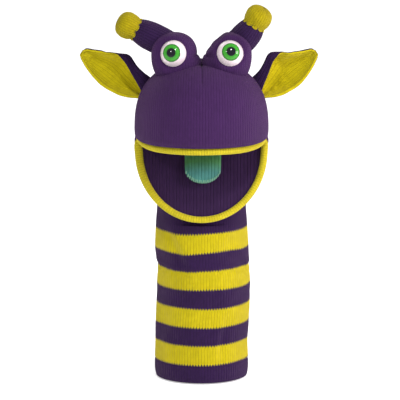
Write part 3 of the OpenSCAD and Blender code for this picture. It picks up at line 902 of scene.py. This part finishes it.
def knitted(points, wale, course, closed, inside, relief=RELIEF):
    """A grid with its stitches raised away from a point or points inside it, ready for grid_object."""
    columns = points.shape[1]
    wale = np.broadcast_to(wale, (len(points), columns + (1 if closed else 0)))
    course = np.broadcast_to(course, wale.shape)
    out = normals(points, closed)
    flip = bool(np.sum(out * (points - inside)) < 0)
    if flip:
        out = -out
    heights = stitch_height(wale[:, :columns], course[:, :columns]) * relief
    return points + out * heights[..., None], wale, course, closed, flip


def closed_columns(values):
    return np.concatenate([values, values[:, :1]], axis=1)


def tube_rings(path, radii, up, columns):
    """Rings round a path. radii holds one radius for each ring, or one for each point."""
    along = unit(np.gradient(path, axis=0))
    out = unit(np.cross(np.broadcast_to(up, path.shape), along))
    across = np.cross(along, out)
    angle = 2 * np.pi * np.arange(columns) / columns
    spokes = np.cos(angle)[None, :, None] * out[:, None] + np.sin(angle)[None, :, None] * across[:, None]
    radii = np.asarray(radii, float)
    radii = radii[:, None] if radii.ndim == 1 else radii
    return path[:, None] + spokes * radii[..., None]


def thread(path, radius, up, course=None):
    """A round thread along a path, ready for grid_object."""
    sides = 8
    rings = tube_rings(path, np.full(len(path), radius), up, sides)
    if course is None:
        course = closed_columns(lengths(rings) / 1.2)
    return knitted(rings, np.arange(sides + 1)[None] / sides, course, True, path[:, None], 0.0)


def lathe(frame, profile, columns, rows):
    """A profile of (radius, height) points turned round a frame's z axis."""
    line = spline(profile, np.linspace(0, 1, rows * 4))
    line = respaced(np.pad(line, ((0, 0), (0, 1)))[:, None, :], rows)[:, 0]
    angle = 2 * np.pi * np.arange(columns) / columns
    radius = np.maximum(line[:, 0], 0.01)[:, None]
    return frame.out(radius * np.cos(angle), radius * np.sin(angle), line[:, 1][:, None] + 0 * angle)


# --- Eye mounds ---

def mound_rings(side, columns, rows):
    """The stuffed mound round an eye, from a foot inside the head up to a short seam on top."""
    sign = 1 if side == "left" else -1
    centre = MOUND * [sign, 1, 1]
    radius = 24.0
    angle = np.pi / 2 + 2 * np.pi * np.arange(columns) / columns
    ring = np.stack([np.cos(angle), np.sin(angle)], axis=-1)
    climb = np.linspace(-24, 0, 14)[:-1]
    below = radius * (1 - np.abs(climb / 32) ** 2.2) ** (1 / 2.2)
    under = np.concatenate([centre[:2] + below[:, None, None] * ring, np.broadcast_to(
        (centre[2] + climb)[:, None, None], (len(climb), columns, 1))], axis=-1)
    t = np.linspace(0, 1, 60)[:, None, None]
    seam = np.stack([0.5 * ring[:, 0], 0 * ring[:, 1]], axis=-1)
    over_q = mix(ring[None], seam[None], t)
    rho = np.linalg.norm(over_q, axis=-1)
    top = centre[2] + 23.5 * crown(rho, 2.25)
    over = np.concatenate([centre[:2] + over_q * radius, top[..., None]], axis=-1)
    # towards the middle of the head the mound spreads down into the valley
    toward = np.clip(-ring[:, 0] * sign, 0, 1) ** 2
    level = np.clip((centre[2] + 4 - under[..., 2]) / 14, 0, 1)
    under[..., 0] -= sign * 5.2 * toward[None] * smooth(level)
    points = respaced(np.vstack([under, over]), rows)
    if side == "left":
        # its inner shoulder slopes up to the horn
        slope = np.clip(((centre[0] - points[..., 0]) + (points[..., 2] - centre[2]) - 24) / 10, 0, 1)
        points[..., 2] -= 3.4 * smooth(slope)
        points[..., 0] += 2.0 * smooth(slope)
    return flattened_behind_eye(points, EYES[side])


def flattened_behind_eye(points, eye):
    """Presses the cloth back to the plane of the eye, with a soft edge round it."""
    local = eye.back(points)
    depth = local[..., 2]
    edge = 2.2
    over = depth + 0.6
    rounded = -0.6 - (edge - over) ** 2 / (4 * edge)
    local[..., 2] = np.where(over > edge, -0.6, np.where(over < -edge, depth, rounded))
    return eye.out(local[..., 0], local[..., 1], local[..., 2])


def build_mound(side):
    sign = 1 if side == "left" else -1
    centre = MOUND * [sign, 1, 1]
    columns, rows = 54 * COLUMNS_PER_WALE, 78
    points = mound_rings(side, columns, rows)
    shift = settled(mound_rings(side, 40, 20), True, [0, 19], growth=0.015, pressure=3.0, cap=1.0)
    points = points + spread(shift, rows, columns, True)
    points = flattened_behind_eye(points, EYES[side])
    course = closed_columns(lengths(points) / COURSE)
    piece = knitted(points, counted(columns, True), course, True, centre)
    obj = grid_object("eye_mound_knit_" + side, [piece], "head")
    dress(obj, "purple")
    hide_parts("eye_mound_" + side)


# --- Eyes ---

EYE_BALL_R = 15.19
EYE_SCALE = 0.95
IRIS_R = 10.1
PUPIL_R = 5.15


def dome_profile(r_from, r_to, proud, count=14):
    radii = np.linspace(r_from, r_to, count)
    return [(r, math.sqrt((EYE_BALL_R + proud) ** 2 - r * r) - EYE_SET) for r in radii]


def eye_piece(name, side, profile, material, node):
    eye = EYES[side]
    points = lathe(eye, np.array(profile) * EYE_SCALE, 96, 40)
    rows = np.linspace(0, 1, 40)[:, None]
    turn = np.arange(97)[None, :] / 96
    obj = grid_object(name, [knitted(points, turn, rows, True, eye.out(0, 0, -8), 0.0)], "head")
    dress(obj, material)
    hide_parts(node)


def build_eye(side):
    rim = [(0.0, -1.5), (9.0, -1.5), (14.0, -1.4), (14.75, -0.9), (14.9, -0.2), (14.7, 0.4)]
    white = rim + dome_profile(14.4, 0.0, 0.0, 20)
    eye_piece("eye_white_" + side, side, white, "eye_white", "eyeball_" + side)
    edge = [(IRIS_R, math.sqrt(EYE_BALL_R**2 - IRIS_R**2) - EYE_SET)]
    iris = dome_profile(PUPIL_R - 0.6, IRIS_R - 0.15, 0.12) + edge
    eye_piece("eye_iris_" + side, side, iris, "iris", "iris_" + side)
    edge = [(PUPIL_R, math.sqrt((EYE_BALL_R + 0.1) ** 2 - PUPIL_R**2) - EYE_SET)]
    pupil = dome_profile(0.0, PUPIL_R - 0.1, 0.26) + edge
    eye_piece("eye_pupil_" + side, side, pupil, "eye_black", "pupil_" + side)


# --- Horns and pompoms ---

HORNS = {  # root across and up, slope at the root and at the tip, length
    "left": ((31.0, HINGE[2] + 103), (30.0, 60.0), 35.0),
    "right": ((29.7, HINGE[2] + 104), (25.6, 25.6), 44.5),
}
HORN_Y = -24.0


def horn_point(side, t):
    """A point on a horn's axis, given for the +X side."""
    root, slope, length = HORNS[side]
    angle = np.radians(slope[0] + (slope[1] - slope[0]) * t / 2)
    across, up = root[0] + length * t * np.cos(angle), root[1] + length * t * np.sin(angle)
    return np.stack([across, HORN_Y + 0 * t, up], axis=-1)


def horn_tip(side):
    slope = HORNS[side][1][1]
    tip = Frame(horn_point(side, np.array(1.0)), turned("Y", 90 - slope))
    return tip if side == "left" else tip.mirrored()


def horn_rings(side, columns, rows):
    sign = 1 if side == "left" else -1
    t = np.linspace(-0.1, 1.0, rows)
    path = horn_point(side, t)
    radius = spline([14.4, 14.6, 14.9, 15.1, 14.8, 13.7, 11.2], np.clip(t, 0, 1))[:, 0]
    angle = 2 * np.pi * np.arange(columns) / columns
    # the knitting gathers into soft folds under the thread
    folds = 1 + 0.035 * smooth((t[:, None] - 0.55) / 0.45) * np.sin(7 * angle + 0.6)
    dent = 1 - 0.02 * ripple(angle[None] / (2 * np.pi), t[:, None], 5 if side == "left" else 8)
    return tube_rings(path, radius[:, None] * folds * dent, (0, 1, 0), columns) * [sign, 1, 1]


def build_horn(side):
    columns = 31 * COLUMNS_PER_WALE
    points = horn_rings(side, columns, 64)
    course = closed_columns(lengths(points) / COURSE)
    inside = points.mean(axis=1, keepdims=True)
    body = knitted(points, counted(columns, True), course, True, inside, 0.5)
    tip = horn_tip(side)
    cap = [(10.9, 0.0), (9.4, 1.3), (7.0, 2.0), (3.0, 2.2), (0.0, 2.2)]
    top = lathe(tip, cap, columns, 10)
    end = knitted(top, counted(columns, True), 40.0, True, tip.origin, 0.0)
    obj = grid_object("horn_knit_" + side, [body, end], "horn_" + side)
    dress(obj, "dark_purple")
    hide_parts("horn_cover_" + side)


POMPOM_PROFILE = [(12.2, -2.2), (12.1, -1.3), (11.7, 0.0), (11.7, 0.9), (12.5, 2.8), (13.5, 6.0), (14.0, 9.8),
                  (13.6, 13.4), (12.1, 16.8), (9.4, 19.4), (5.8, 21.0), (2.0, 21.6), (0.0, 21.4)]


def build_pompom(side):
    tip = horn_tip(side)
    wales, rows = 32, 80
    columns = wales * COLUMNS_PER_WALE
    points = lathe(tip, POMPOM_PROFILE, columns, rows)
    local = tip.back(points)
    angle = np.arctan2(local[..., 1], local[..., 0])
    height = local[..., 2]
    pleats, seed = (11, 0.4) if side == "left" else (10, 1.3)
    wave = np.abs(np.sin(pleats / 2 * angle + seed + 0.5 * np.sin(2 * angle))) - 0.5
    near = np.exp(-((np.clip(height - 0.5, 0, 99) / 5.0) ** 2))
    radius = np.hypot(local[..., 0], local[..., 1])
    grown = radius + wave * near + 0.3 * ripple(angle / (2 * np.pi), height / 22, 11)
    # the free edge below the thread hangs in scallops
    drop = np.clip(0.6 - height, 0, 9)
    height = height + drop * (0.85 - 0.7 * (wave + 0.5))
    points = tip.out(local[..., 0] / radius * grown, local[..., 1] / radius * grown, height)
    course = closed_columns(lengths(points) / COURSE)
    outer = knitted(points, counted(columns, True), course, True, tip.out(0, 0, 9), 0.45)
    under = tip.back(points[:12])
    shrink = 1 - 1.3 / np.hypot(under[..., 0], under[..., 1])
    lining = tip.out(under[..., 0] * shrink, under[..., 1] * shrink, under[..., 2] + 0.1)
    back = knitted(lining, counted(columns, True), course[:12], True, tip.out(0, 0, 9), 0.0)
    back = back[:4] + (not back[4],)
    rim = np.stack([outer[0][0], lining[0]])
    edge = knitted(rim, counted(columns, True), course[:2], True, tip.out(0, 0, 9), 0.0)
    obj = grid_object("pompom_knit_" + side, [outer, back, edge], "horn_" + side)
    dress(obj, "pompom")
    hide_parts("pompom_cover_" + side)
    turn = np.linspace(0, 4 * np.pi, 120)
    coil = tip.out(11.5 * np.cos(turn), 11.5 * np.sin(turn), -0.4 + 0.9 * turn / (4 * np.pi))
    gather = grid_object("pompom_gather_" + side, [thread(coil, 0.4, tip.axes[:, 2])], "horn_" + side)
    dress(gather, "dark_thread")
    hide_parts("pompom_thread_" + side)


# --- Ears ---

EAR_STATIONS = np.array([-8, 0, 8, 18, 30, 42, 55, 65, 72, 76.2])
EAR_TOP = np.array([9.5, 11.2, 12.2, 14.6, 19.6, 17.8, 13.3, 9.1, 5.4, 1.4])
EAR_FOLD = np.array([-9.4, -4.6, 0.4, 5.6, 12.8, 16.2, 12.6, 8.7, 5.1, 1.2])
EAR_LOW = np.array([-11.0, -15.4, -19.6, -22.6, -22.9, -21.0, -16.8, -12.3, -7.8, -4.4])
EAR_HOLLOW = np.array([6.0, 9.0, 12.0, 13.6, 13.0, 10.6, 7.4, 4.6, 2.2, 0.4])
EAR_LENGTH = {"left": 0.94, "right": 1.0}
EAR_CREST = {"left": 3.6, "right": 0.6}  # how much higher the crest of each ear stands
EAR_LIFT = {"left": 2.5, "right": 0.0}  # degrees


def ear_section(along, crest):
    """Five points across the leaf at one station, as (front to back, across)."""
    lines = (EAR_TOP, EAR_FOLD, EAR_LOW, EAR_HOLLOW)
    top, fold, foot, hollow = (np.interp(along, EAR_STATIONS, line) for line in lines)
    raise_by = crest * math.exp(-(((along - 30) / 20) ** 2))
    top, fold = top + raise_by, fold + raise_by
    lap = smooth((top - fold - 0.6) / 6)
    return [(-1.2, foot), (hollow * 0.62, mix(foot, fold, 0.22)), (hollow, mix(foot, fold, 0.62)),
            (mix(0.6, 1.0, lap), mix(mix(foot, top, 0.9), top, lap)), (mix(-1.6, -4.4, lap), fold)]


def ear_leaf(rows, columns, side):
    """The leaf's middle surface: rows run from root to tip, columns from its lower edge to its upper one."""
    stations = np.interp(np.linspace(0, 1, rows), [0, 0.9, 1], [-8, 72.5, 76.2])
    crest = EAR_CREST[side]
    sections = [np.mean([ear_section(a + d, crest) for d in (-3, -1.5, 0, 1.5, 3)], axis=0) if a < 68
                else ear_section(a, crest) for a in stations]
    across = np.linspace(0, 1, columns)
    leaf = np.stack([spline(section, across) for section in sections])
    lifted = Frame(EAR.origin, turned("Y", -EAR_LIFT[side]) @ EAR.axes)
    return lifted.out(stations[:, None] * EAR_LENGTH[side], leaf[..., 0], leaf[..., 1]), stations


def build_ear(side):
    sign = 1 if side == "left" else -1
    columns, rows = 17 * COLUMNS_PER_WALE + 1, 110
    points, stations = ear_leaf(rows, columns, side)
    shift = settled(ear_leaf(24, 18, side)[0], False, [0, 23], growth=0.02, pressure=0.6, cap=1.2)
    points = points + spread(shift, rows, columns, False)
    front_side = normals(points, False)
    if np.sum(front_side[..., 1]) > 0:
        front_side = -front_side
    v = np.linspace(-1, 1, columns)[None, :]
    thick = 0.95 * (1 - v**10) * (1 - smooth((stations[:, None] - 73.5) / 2.6))
    rim = 1.7 * np.exp(-(((np.abs(v) - 0.9) / 0.06) ** 2)) * (1 - v**16)
    wale = np.arange(columns)[None, :] / COLUMNS_PER_WALE
    course = (stations / COURSE)[:, None] + 0 * wale
    front = (points + front_side * (thick + rim * 0.8)[..., None]) * [sign, 1, 1]
    spill = 0.4 * np.clip(v, 0, 1) ** 12 * (1 - v**40)
    out_across = unit(np.gradient(points, axis=1)) * np.sign(v)[..., None]
    back = points - front_side * (thick + 0.3 * (1 - v**16))[..., None] + out_across * spill[..., None] * 2
    back = back * [sign, 1, 1]
    facing = front_side * [sign, 1, 1]
    for name, grid, out, look, slot, node in (
            ("ear_knit_yellow_", front, facing, "yellow", "yellow_knit", "ear_front_"),
            ("ear_knit_purple_", back, -facing, "dark_purple", "purple_knit", "ear_back_")):
        piece = knitted(grid, wale, course, False, grid - out, 0.18)
        obj = grid_object(name + side, [piece], "ear_" + side)
        dress(obj, look)
        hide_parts(node + side)


# --- Lips ---

CORNER_RUN = 10.0


def bow(half_w, reach, count):
    """The bow of a lip from the right corner round the front to the left one: across and forward."""
    a = np.linspace(np.pi, 0, count)
    return half_w * np.cos(a), CORNER_RUN + (reach - CORNER_RUN) * np.sin(a)


def build_lip(name, palate, half_w, reach, height, side_r, front_r, corner, body, node, seed):
    across, forward = bow(half_w, reach, 200)
    path = palate.out(across, -forward, height)
    if palate is UPPER_PALATE:
        path[:, 2] -= lip_droop(forward)
    corners = np.array(corner, float)
    path = np.vstack([(corners * [-1, 1, 1])[::-1], path, corners])
    # every eighth point of the bow, clear of its ends, so that it runs smoothly into the corners
    n, last = len(corners), len(path)
    path = spline(path[np.r_[0:n, n + 6:last - n - 6:8, last - n:last]], np.linspace(0, 1, 1200))
    travel = lengths(path[:, None])[:, 0]
    wales = int(round(travel[-1] / 2.75))
    columns = wales * COLUMNS_PER_WALE + 1
    place = np.linspace(0, travel[-1], columns)
    path = np.stack([np.interp(place, travel, path[:, k]) for k in range(3)], axis=-1)
    part = place / travel[-1]
    middle = np.sin(np.pi * part) ** 2
    ends = smooth(np.minimum(part, 1 - part) / 0.045)
    flank = mix(side_r[0], side_r[1], smooth((part - 0.35) / 0.3))
    radius = mix(flank, front_r, middle) * mix(0.55, 1.0, ends)
    radius = radius * (1 + 0.03 * ripple(part, part, seed))
    rows = 40
    rings = tube_rings(path, radius, palate.axes[:, 2], rows)  # one ring for each column
    points = np.concatenate([rings, rings[:, :1]], axis=1).swapaxes(0, 1)
    course = np.linspace(0, 9, rows + 1)[:, None] + 0 * part[None, :]
    wale = np.arange(columns)[None, :] / COLUMNS_PER_WALE
    grids = [knitted(points, wale, course, False, path[None], 0.38)]
    obj = grid_object(name, grids, body)
    dress(obj, "lip")
    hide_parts(node)


# --- Mouth ---

def lining_path(k, rows):
    """One wale of the lining: back along the upper palate, round the fold and out along the lower one."""
    upper_w, upper_reach = 61.6, 82.0
    lower_w, lower_reach = 63.0, 85.5
    edge = np.sqrt(np.maximum(1 - k * k, 0))
    upper_s = CORNER_RUN + (upper_reach - CORNER_RUN) * edge
    lower_s = CORNER_RUN + (lower_reach - CORNER_RUN) * edge
    gap = 2.0
    s = np.linspace(1, 0, rows)[:, None]
    upper_x, lower_x = upper_w * k[None] + 0 * s, lower_w * k[None] + 0 * s
    upper_run, lower_run = mix(1.5, upper_s[None], s), mix(1.5, lower_s[None], s[::-1])
    # near the fold it spreads out behind the corners of the lips
    upper_x = upper_x * mix(1.0, 65.5 / upper_w, smooth(1 - upper_run / 16))
    lower_x = lower_x * mix(1.0, 66.5 / lower_w, smooth(1 - lower_run / 16))
    upper = UPPER_PALATE.out(upper_x, -upper_run, gap + 0 * upper_x)
    lower = LOWER_PALATE.out(lower_x, -lower_run, -gap + 0 * lower_x)
    turn = np.linspace(0, 1, 9)[1:-1][:, None]
    fold = mix(upper[-1][None], lower[0][None], turn[..., None])
    fold[..., 1] += 2.2 * np.sin(np.pi * turn)
    return upper, fold, lower


def build_lining():
    """The lining's two halves, each on its own body. Both carry the fold, which lies near the hinge."""
    columns = 35 * COLUMNS_PER_WALE + 1
    k = np.linspace(-0.992, 0.992, columns)
    upper, fold, lower = lining_path(k, 84)
    whole = np.vstack([upper, fold, lower])
    travel = lengths(whole)
    part = travel / travel[-1]
    course = travel / COURSE
    wale = (k[None] + 1) * 17.5
    out = normals(whole, False)
    if np.sum(out * (HINGE + [0, -40, -25] - whole)) < 0:
        out = -out
    # padding under the cloth lifts it a little between the lips
    puff = 1.1 * (1 - np.abs(k[None]) ** 4) * np.abs(np.sin(2 * np.pi * part)) ** 0.7
    hollow = 0.5 * ripple(0.13 * k[None], 1.2 * part, 21)
    whole = whole - out * (0.9 - puff * 0.6 - hollow * 0.6)[..., None]
    fold_from, fold_to = len(upper), len(upper) + len(fold)
    halves = (("mouth_lining_upper_knit", slice(0, fold_to), "head", "mouth_lining_upper"),
              ("mouth_lining_lower_knit", slice(fold_from, None), "jaw", "mouth_lining_lower"))
    for name, span, body, node in halves:
        grid = knitted(whole[span], wale, course[span], False, whole[span] - out[span], 0.6)
        obj = grid_object(name, [grid], body)
        dress(obj, "lining")
        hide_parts(node)


TONGUE_TIP = 2.15  # 2 would make the tongue's tip an oval, and more makes it squarer


def build_tongue():
    half_w, reach = 19.6, 37.6
    columns, rows = 11 * COLUMNS_PER_WALE + 1, 60
    k = np.linspace(-1, 1, columns)[None]
    t = np.linspace(0, 1, rows)[:, None]
    tip = half_w * np.sqrt(np.maximum(1 - np.abs(k) ** TONGUE_TIP, 0))
    forward = mix(-7.0, reach - half_w + tip, t)
    across = half_w * k * mix(1, 0.985, t)
    # the root slopes down on to the lining and the tip rises a little
    lift = smooth(forward / 40) * 2.2 - 1.2 * np.abs(k) ** 3 - 1.7 * (1 - smooth((forward + 7) / 9))
    arch = 1.6 * (1 - k**2) * np.maximum(np.sin(np.pi * t), 0) ** 0.8
    middle = lift + arch
    edge = np.clip(1 - np.maximum(np.abs(k) ** 14, t**26), 0, 1)
    top = TONGUE.out(across, -forward, middle + 1.3 * edge + 0.2)
    under = TONGUE.out(across, -forward, middle - 1.1 * edge + 0.1)
    wale = (k + 1) * 5.5 + 0 * t
    course = lengths(top) / COURSE
    above = TONGUE.out(0, -15, 60) - TONGUE.origin
    upper = knitted(top, wale, course, False, top - above, 0.5)
    lower = knitted(under, wale, course, False, under + above, 0.3)
    obj = grid_object("tongue_knit", [upper, lower], "tongue")
    dress(obj, "teal")
    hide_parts("tongue_top", "tongue_underside")
    stitches = []
    for a in np.linspace(-0.92, 0.92, 19):
        s = reach - half_w + half_w * math.sqrt(max(1 - abs(a) ** TONGUE_TIP, 0))
        stitches.append((a * half_w, s))
    build_tongue_stitches(stitches, half_w)


def build_tongue_stitches(places, half_w):
    """Overcast stitches that close the tongue's tip, each a short arc of pale thread over the edge."""
    grids = []
    for number, (x, s) in enumerate(places):
        lean = 0.5 if number % 2 else 0.2
        lift = 2.2 - 1.2 * abs(x / half_w) ** 3
        turn = np.linspace(0, np.pi, 12)
        path = TONGUE.out(x + lean * np.cos(turn) - x * 0.012 * np.sin(turn), -(s - 1.4 + 2.1 * np.sin(turn)),
                          lift + 0.3 + 1.7 * np.cos(turn))
        grids.append(thread(path, 0.6, (1, 0, 0), np.arange(12)[:, None] / 3))
    obj = grid_object("tongue_edge_stitches", grids, "tongue")
    dress(obj, "pale_thread")
    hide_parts("tongue_edge_thread")


# --- Jaw and throat ---

JAW_RINGS = [  # tucked in across and forward, then the height at the fold and at the lip
    (1.2, 1.0, -6.0, -4.8), (0.6, 0.6, -8.5, -5.6), (1.6, 1.4, -12.2, -6.4), (4.5, 4.0, -15.6, -7.0),
    (11.0, 9.5, -18.4, -7.6), (26.0, 26.0, -20.0, -8.0), (48.0, 44.0, -20.6, -8.2), (68.6, 60.0, -20.8, -8.2)]


def jaw_outline(half_w, reach, count):
    across, forward = bow(half_w, reach, 400)
    across = np.concatenate([[across[0]], across, [across[-1]]])
    forward = np.concatenate([[0.0], forward, [0.0]])
    travel = np.concatenate([[0], np.cumsum(np.hypot(np.diff(across), np.diff(forward)))])
    place = np.linspace(0, travel[-1], count)
    return np.interp(place, travel, across), np.interp(place, travel, forward)


def build_jaw():
    half_w, reach = 69.2, 89.0
    columns, rows = 76 * COLUMNS_PER_WALE + 1, 90
    settings = spline(JAW_RINGS, np.linspace(0, 1, rows))
    points = []
    for tuck_w, tuck_s, rear_h, front_h in settings:
        across, forward = jaw_outline(max(half_w - tuck_w, 0.4), reach - tuck_s, columns)
        points.append(LOWER_PALATE.out(across, -forward, mix(rear_h, front_h, forward / reach)))
    points = respaced(np.array(points), rows)
    inside = LOWER_PALATE.out(0, -40, -2)
    wale = np.arange(columns)[None, :] / COLUMNS_PER_WALE
    course = lengths(points) / COURSE
    # the back of the jaw, from one end of each course to the other
    back_columns, back_wales = 80, 45
    t = np.linspace(0, 1, back_columns)[None, :, None]
    back = mix(points[:, :1], points[:, -1:], t)
    back_wale = np.linspace(0, back_wales, back_columns)[None]
    back_piece = knitted(back, back_wale, lengths(back) / COURSE, False, inside)
    obj = grid_object("jaw_knit", [knitted(points, wale, course, False, inside), back_piece], "jaw")
    dress(obj, "purple")
    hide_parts("jaw_skin")


def build_throat():
    """A sheet of cloth inside the head, from the throat wall to the mouth's fold."""
    columns, rows = 44 * COLUMNS_PER_WALE + 1, 40
    k = np.linspace(-1, 1, columns)[None]
    t = np.linspace(0, 1, rows)[:, None]
    y = mix(HINGE[1] + 30, HINGE[1] + 1.2, t)
    z = mix(HINGE[2] - 6.5, HINGE[2] - 0.2, t) + 1.5 * np.sin(np.pi * t)
    points = np.stack([mix(54.0, 64.5, t) * k, y + 0 * k, z + 0 * k], axis=-1)
    wale = (k + 1) * 22
    course = lengths(points) / COURSE
    grid = knitted(points, wale, course, False, points + [0, 0, 5], 0.3)
    obj = grid_object("throat_knit", [grid], "head")
    dress(obj, "purple")


# --- Inside ---

def soft_copy(node, name, material, body, voxel=3.0, lumps=0.5, inset=0.0):
    """Filling or lining that keeps the room its CAD solid has, with the solid's edges softened."""
    source = frame["nodes"][node]
    obj = bpy.data.objects.new(name, source.data.copy())
    bpy.context.scene.collection.objects.link(obj)
    remesh = obj.modifiers.new("Remesh", "REMESH")
    remesh.mode = "VOXEL"
    remesh.voxel_size = voxel * MM
    relax = obj.modifiers.new("Relax", "SMOOTH")
    relax.factor = 0.5
    relax.iterations = 4
    applied = bpy.data.meshes.new_from_object(obj.evaluated_get(bpy.context.evaluated_depsgraph_get()))
    obj.modifiers.clear()
    obj.data = applied
    co = np.array([v.co for v in applied.vertices])
    out = np.array([v.normal for v in applied.vertices])
    rng = np.random.default_rng(len(name))
    wave = np.zeros(len(co))
    for _ in range(6):
        direction = unit(rng.normal(size=3)) * rng.uniform(250, 700)
        wave += np.sin(co @ direction + rng.uniform(0, 6.28))
    co = co - out * ((inset + (1.5 + wave) * lumps * 0.3) * MM)[:, None]
    applied.vertices.foreach_set("co", co.ravel())
    applied.polygons.foreach_set("use_smooth", np.ones(len(applied.polygons), bool))
    applied.update()
    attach(obj, body)
    dress(obj, material)
    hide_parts(node)


def stuffed(name, points, node, body, inset=2.2):
    """Loose filling just inside a piece of knitting, closed at both ends of its grid and a little lumpy."""
    rows, columns = points.shape[:2]
    middle = points.mean(axis=(0, 1))
    out = normals(points, True)
    out = out * np.sign(np.sum(out * (points - middle), axis=-1, keepdims=True).mean())
    turn = np.arange(columns)[None] / columns
    lumps = ripple(3 * turn, np.linspace(0, 3, rows)[:, None], len(name))
    core = points - out * (inset + 0.5 * lumps)[..., None]
    core = core[1:-1]
    first, last = (np.broadcast_to(core[k].mean(axis=0), (1, columns, 3)) for k in (0, -1))
    core_grid = np.vstack([first, core, last])
    flip = bool(np.sum(normals(core, True) * (core - middle)) < 0)
    wale = np.arange(columns + 1)[None] / columns
    obj = grid_object(name, [(core_grid, wale, np.zeros((rows, 1)), True, flip)], body)
    dress(obj, "filling")
    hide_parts(node)


def build_filling():
    soft_copy("head_stuffing", "head_filling", "filling", "head", inset=1.2)
    soft_copy("jaw_padding", "jaw_filling", "filling", "jaw", 2.5, inset=1.4)
    soft_copy("finger_pocket", "finger_pocket_cloth", "pocket", "head", 1.0, 0.0)
    soft_copy("thumb_pocket", "thumb_pocket_cloth", "pocket", "jaw", 0.7, 0.0)
    for side in ("left", "right"):
        stuffed("eye_mound_filling_" + side, mound_rings(side, 48, 24), "eye_mound_stuffing_" + side, "head")
        stuffed("horn_filling_" + side, horn_rings(side, 40, 20), "horn_stuffing_" + side, "horn_" + side)
        ball = lathe(horn_tip(side), POMPOM_PROFILE[3:], 40, 18)
        stuffed("pompom_filling_" + side, ball, "pompom_stuffing_" + side, "horn_" + side)


# --- Camera, light and floor ---

def camera():
    target = Vector((-1.6, -15.0, 193.6)) * MM
    distance, climb = 8.0, math.radians(12)
    data = bpy.data.cameras.new("camera")
    data.lens = 673
    data.sensor_width = 36
    data.clip_end = 40
    obj = bpy.data.objects.new("camera", data)
    bpy.context.scene.collection.objects.link(obj)
    obj.location = target + distance * Vector((0, -math.cos(climb), math.sin(climb)))
    obj.rotation_euler = (target - obj.location).to_track_quat("-Z", "Y").to_euler()
    bpy.context.scene.camera = obj


def lamp(name, place, size, power, colour=(1, 1, 1)):
    data = bpy.data.lights.new(name, "AREA")
    data.shape = "DISK"
    data.size = size
    data.energy = power
    data.color = colour
    obj = bpy.data.objects.new(name, data)
    bpy.context.scene.collection.objects.link(obj)
    obj.location = place
    aim = Vector((0, 0, 0.2)) - Vector(place)
    obj.rotation_euler = aim.to_track_quat("-Z", "Y").to_euler()


def studio():
    lamp("key", (0.35, -1.25, 1.75), 0.26, 16)
    lamp("spark", (-0.85, -1.4, 1.2), 0.2, 6)
    lamp("side", (1.5, -0.7, 0.8), 0.7, 24, (1.0, 0.88, 0.95))
    lamp("back", (-0.7, 1.4, 1.1), 0.8, 6)
    world = bpy.data.worlds.new("studio")
    world.use_nodes = True
    world.node_tree.nodes["Background"].inputs["Color"].default_value = (1, 1, 1, 1)
    # the sky behind the floor is white to the camera and a little dimmer as a light
    tree = world.node_tree
    seen = tree.nodes.new("ShaderNodeLightPath").outputs["Is Camera Ray"]
    strength = tree.nodes.new("ShaderNodeMapRange")
    strength.inputs["To Min"].default_value = 0.66
    strength.inputs["To Max"].default_value = 1.0
    tree.links.new(seen, strength.inputs["Value"])
    tree.links.new(strength.outputs[0], tree.nodes["Background"].inputs["Strength"])
    bpy.context.scene.world = world
    bpy.context.scene.view_settings.view_transform = "Standard"


def floor():
    bpy.ops.mesh.primitive_circle_add(vertices=96, radius=6, fill_type="NGON", location=(0, 0, -0.0016))
    obj = bpy.context.object
    obj.name = "floor"
    s = Shader("pale_floor")
    drift = s.noise(1.5, 2.0, s.place())
    s.put(s.surface.inputs["Base Color"], s.blend(drift, (0.93, 0.93, 0.93, 1), (0.97, 0.97, 0.97, 1)))
    s.surface.inputs["Roughness"].default_value = 0.9
    s.surface.inputs["Emission Color"].default_value = (1, 1, 1, 1)
    s.surface.inputs["Emission Strength"].default_value = 0.42
    obj.data.materials.append(s.material)


def dress_cad_nodes():
    """The boards and the washers inside the puppet keep their CAD shape."""
    for name, obj in frame["nodes"].items():
        for look in ("board", "washer"):
            if look in name:
                dress(obj, look)


camera()
studio()
floor()
build_sleeve()
build_neck()
build_nape()
build_head()
build_dart()
for each_side in ("left", "right"):
    build_mound(each_side)
    build_eye(each_side)
    build_horn(each_side)
    build_pompom(each_side)
    build_ear(each_side)
build_lip("lip_knit_upper", UPPER_PALATE, 64.4, 84.35, 3.2, (3.9, 3.9), 3.9,
          [(65.6, -19.5, 261.0), (65.8, -13.0, 262.0)], "head", "lip_band_upper", 3)
build_lip("lip_knit_lower", LOWER_PALATE, 66.9, 87.6, -2.6, (4.3, 3.6), 3.2,
          [(67.6, -15.5, 254.5), (67.4, -12.0, 262.5)], "jaw", "lip_band_lower", 4)
build_lining()
build_tongue()
build_jaw()
build_throat()
build_filling()
dress_cad_nodes()
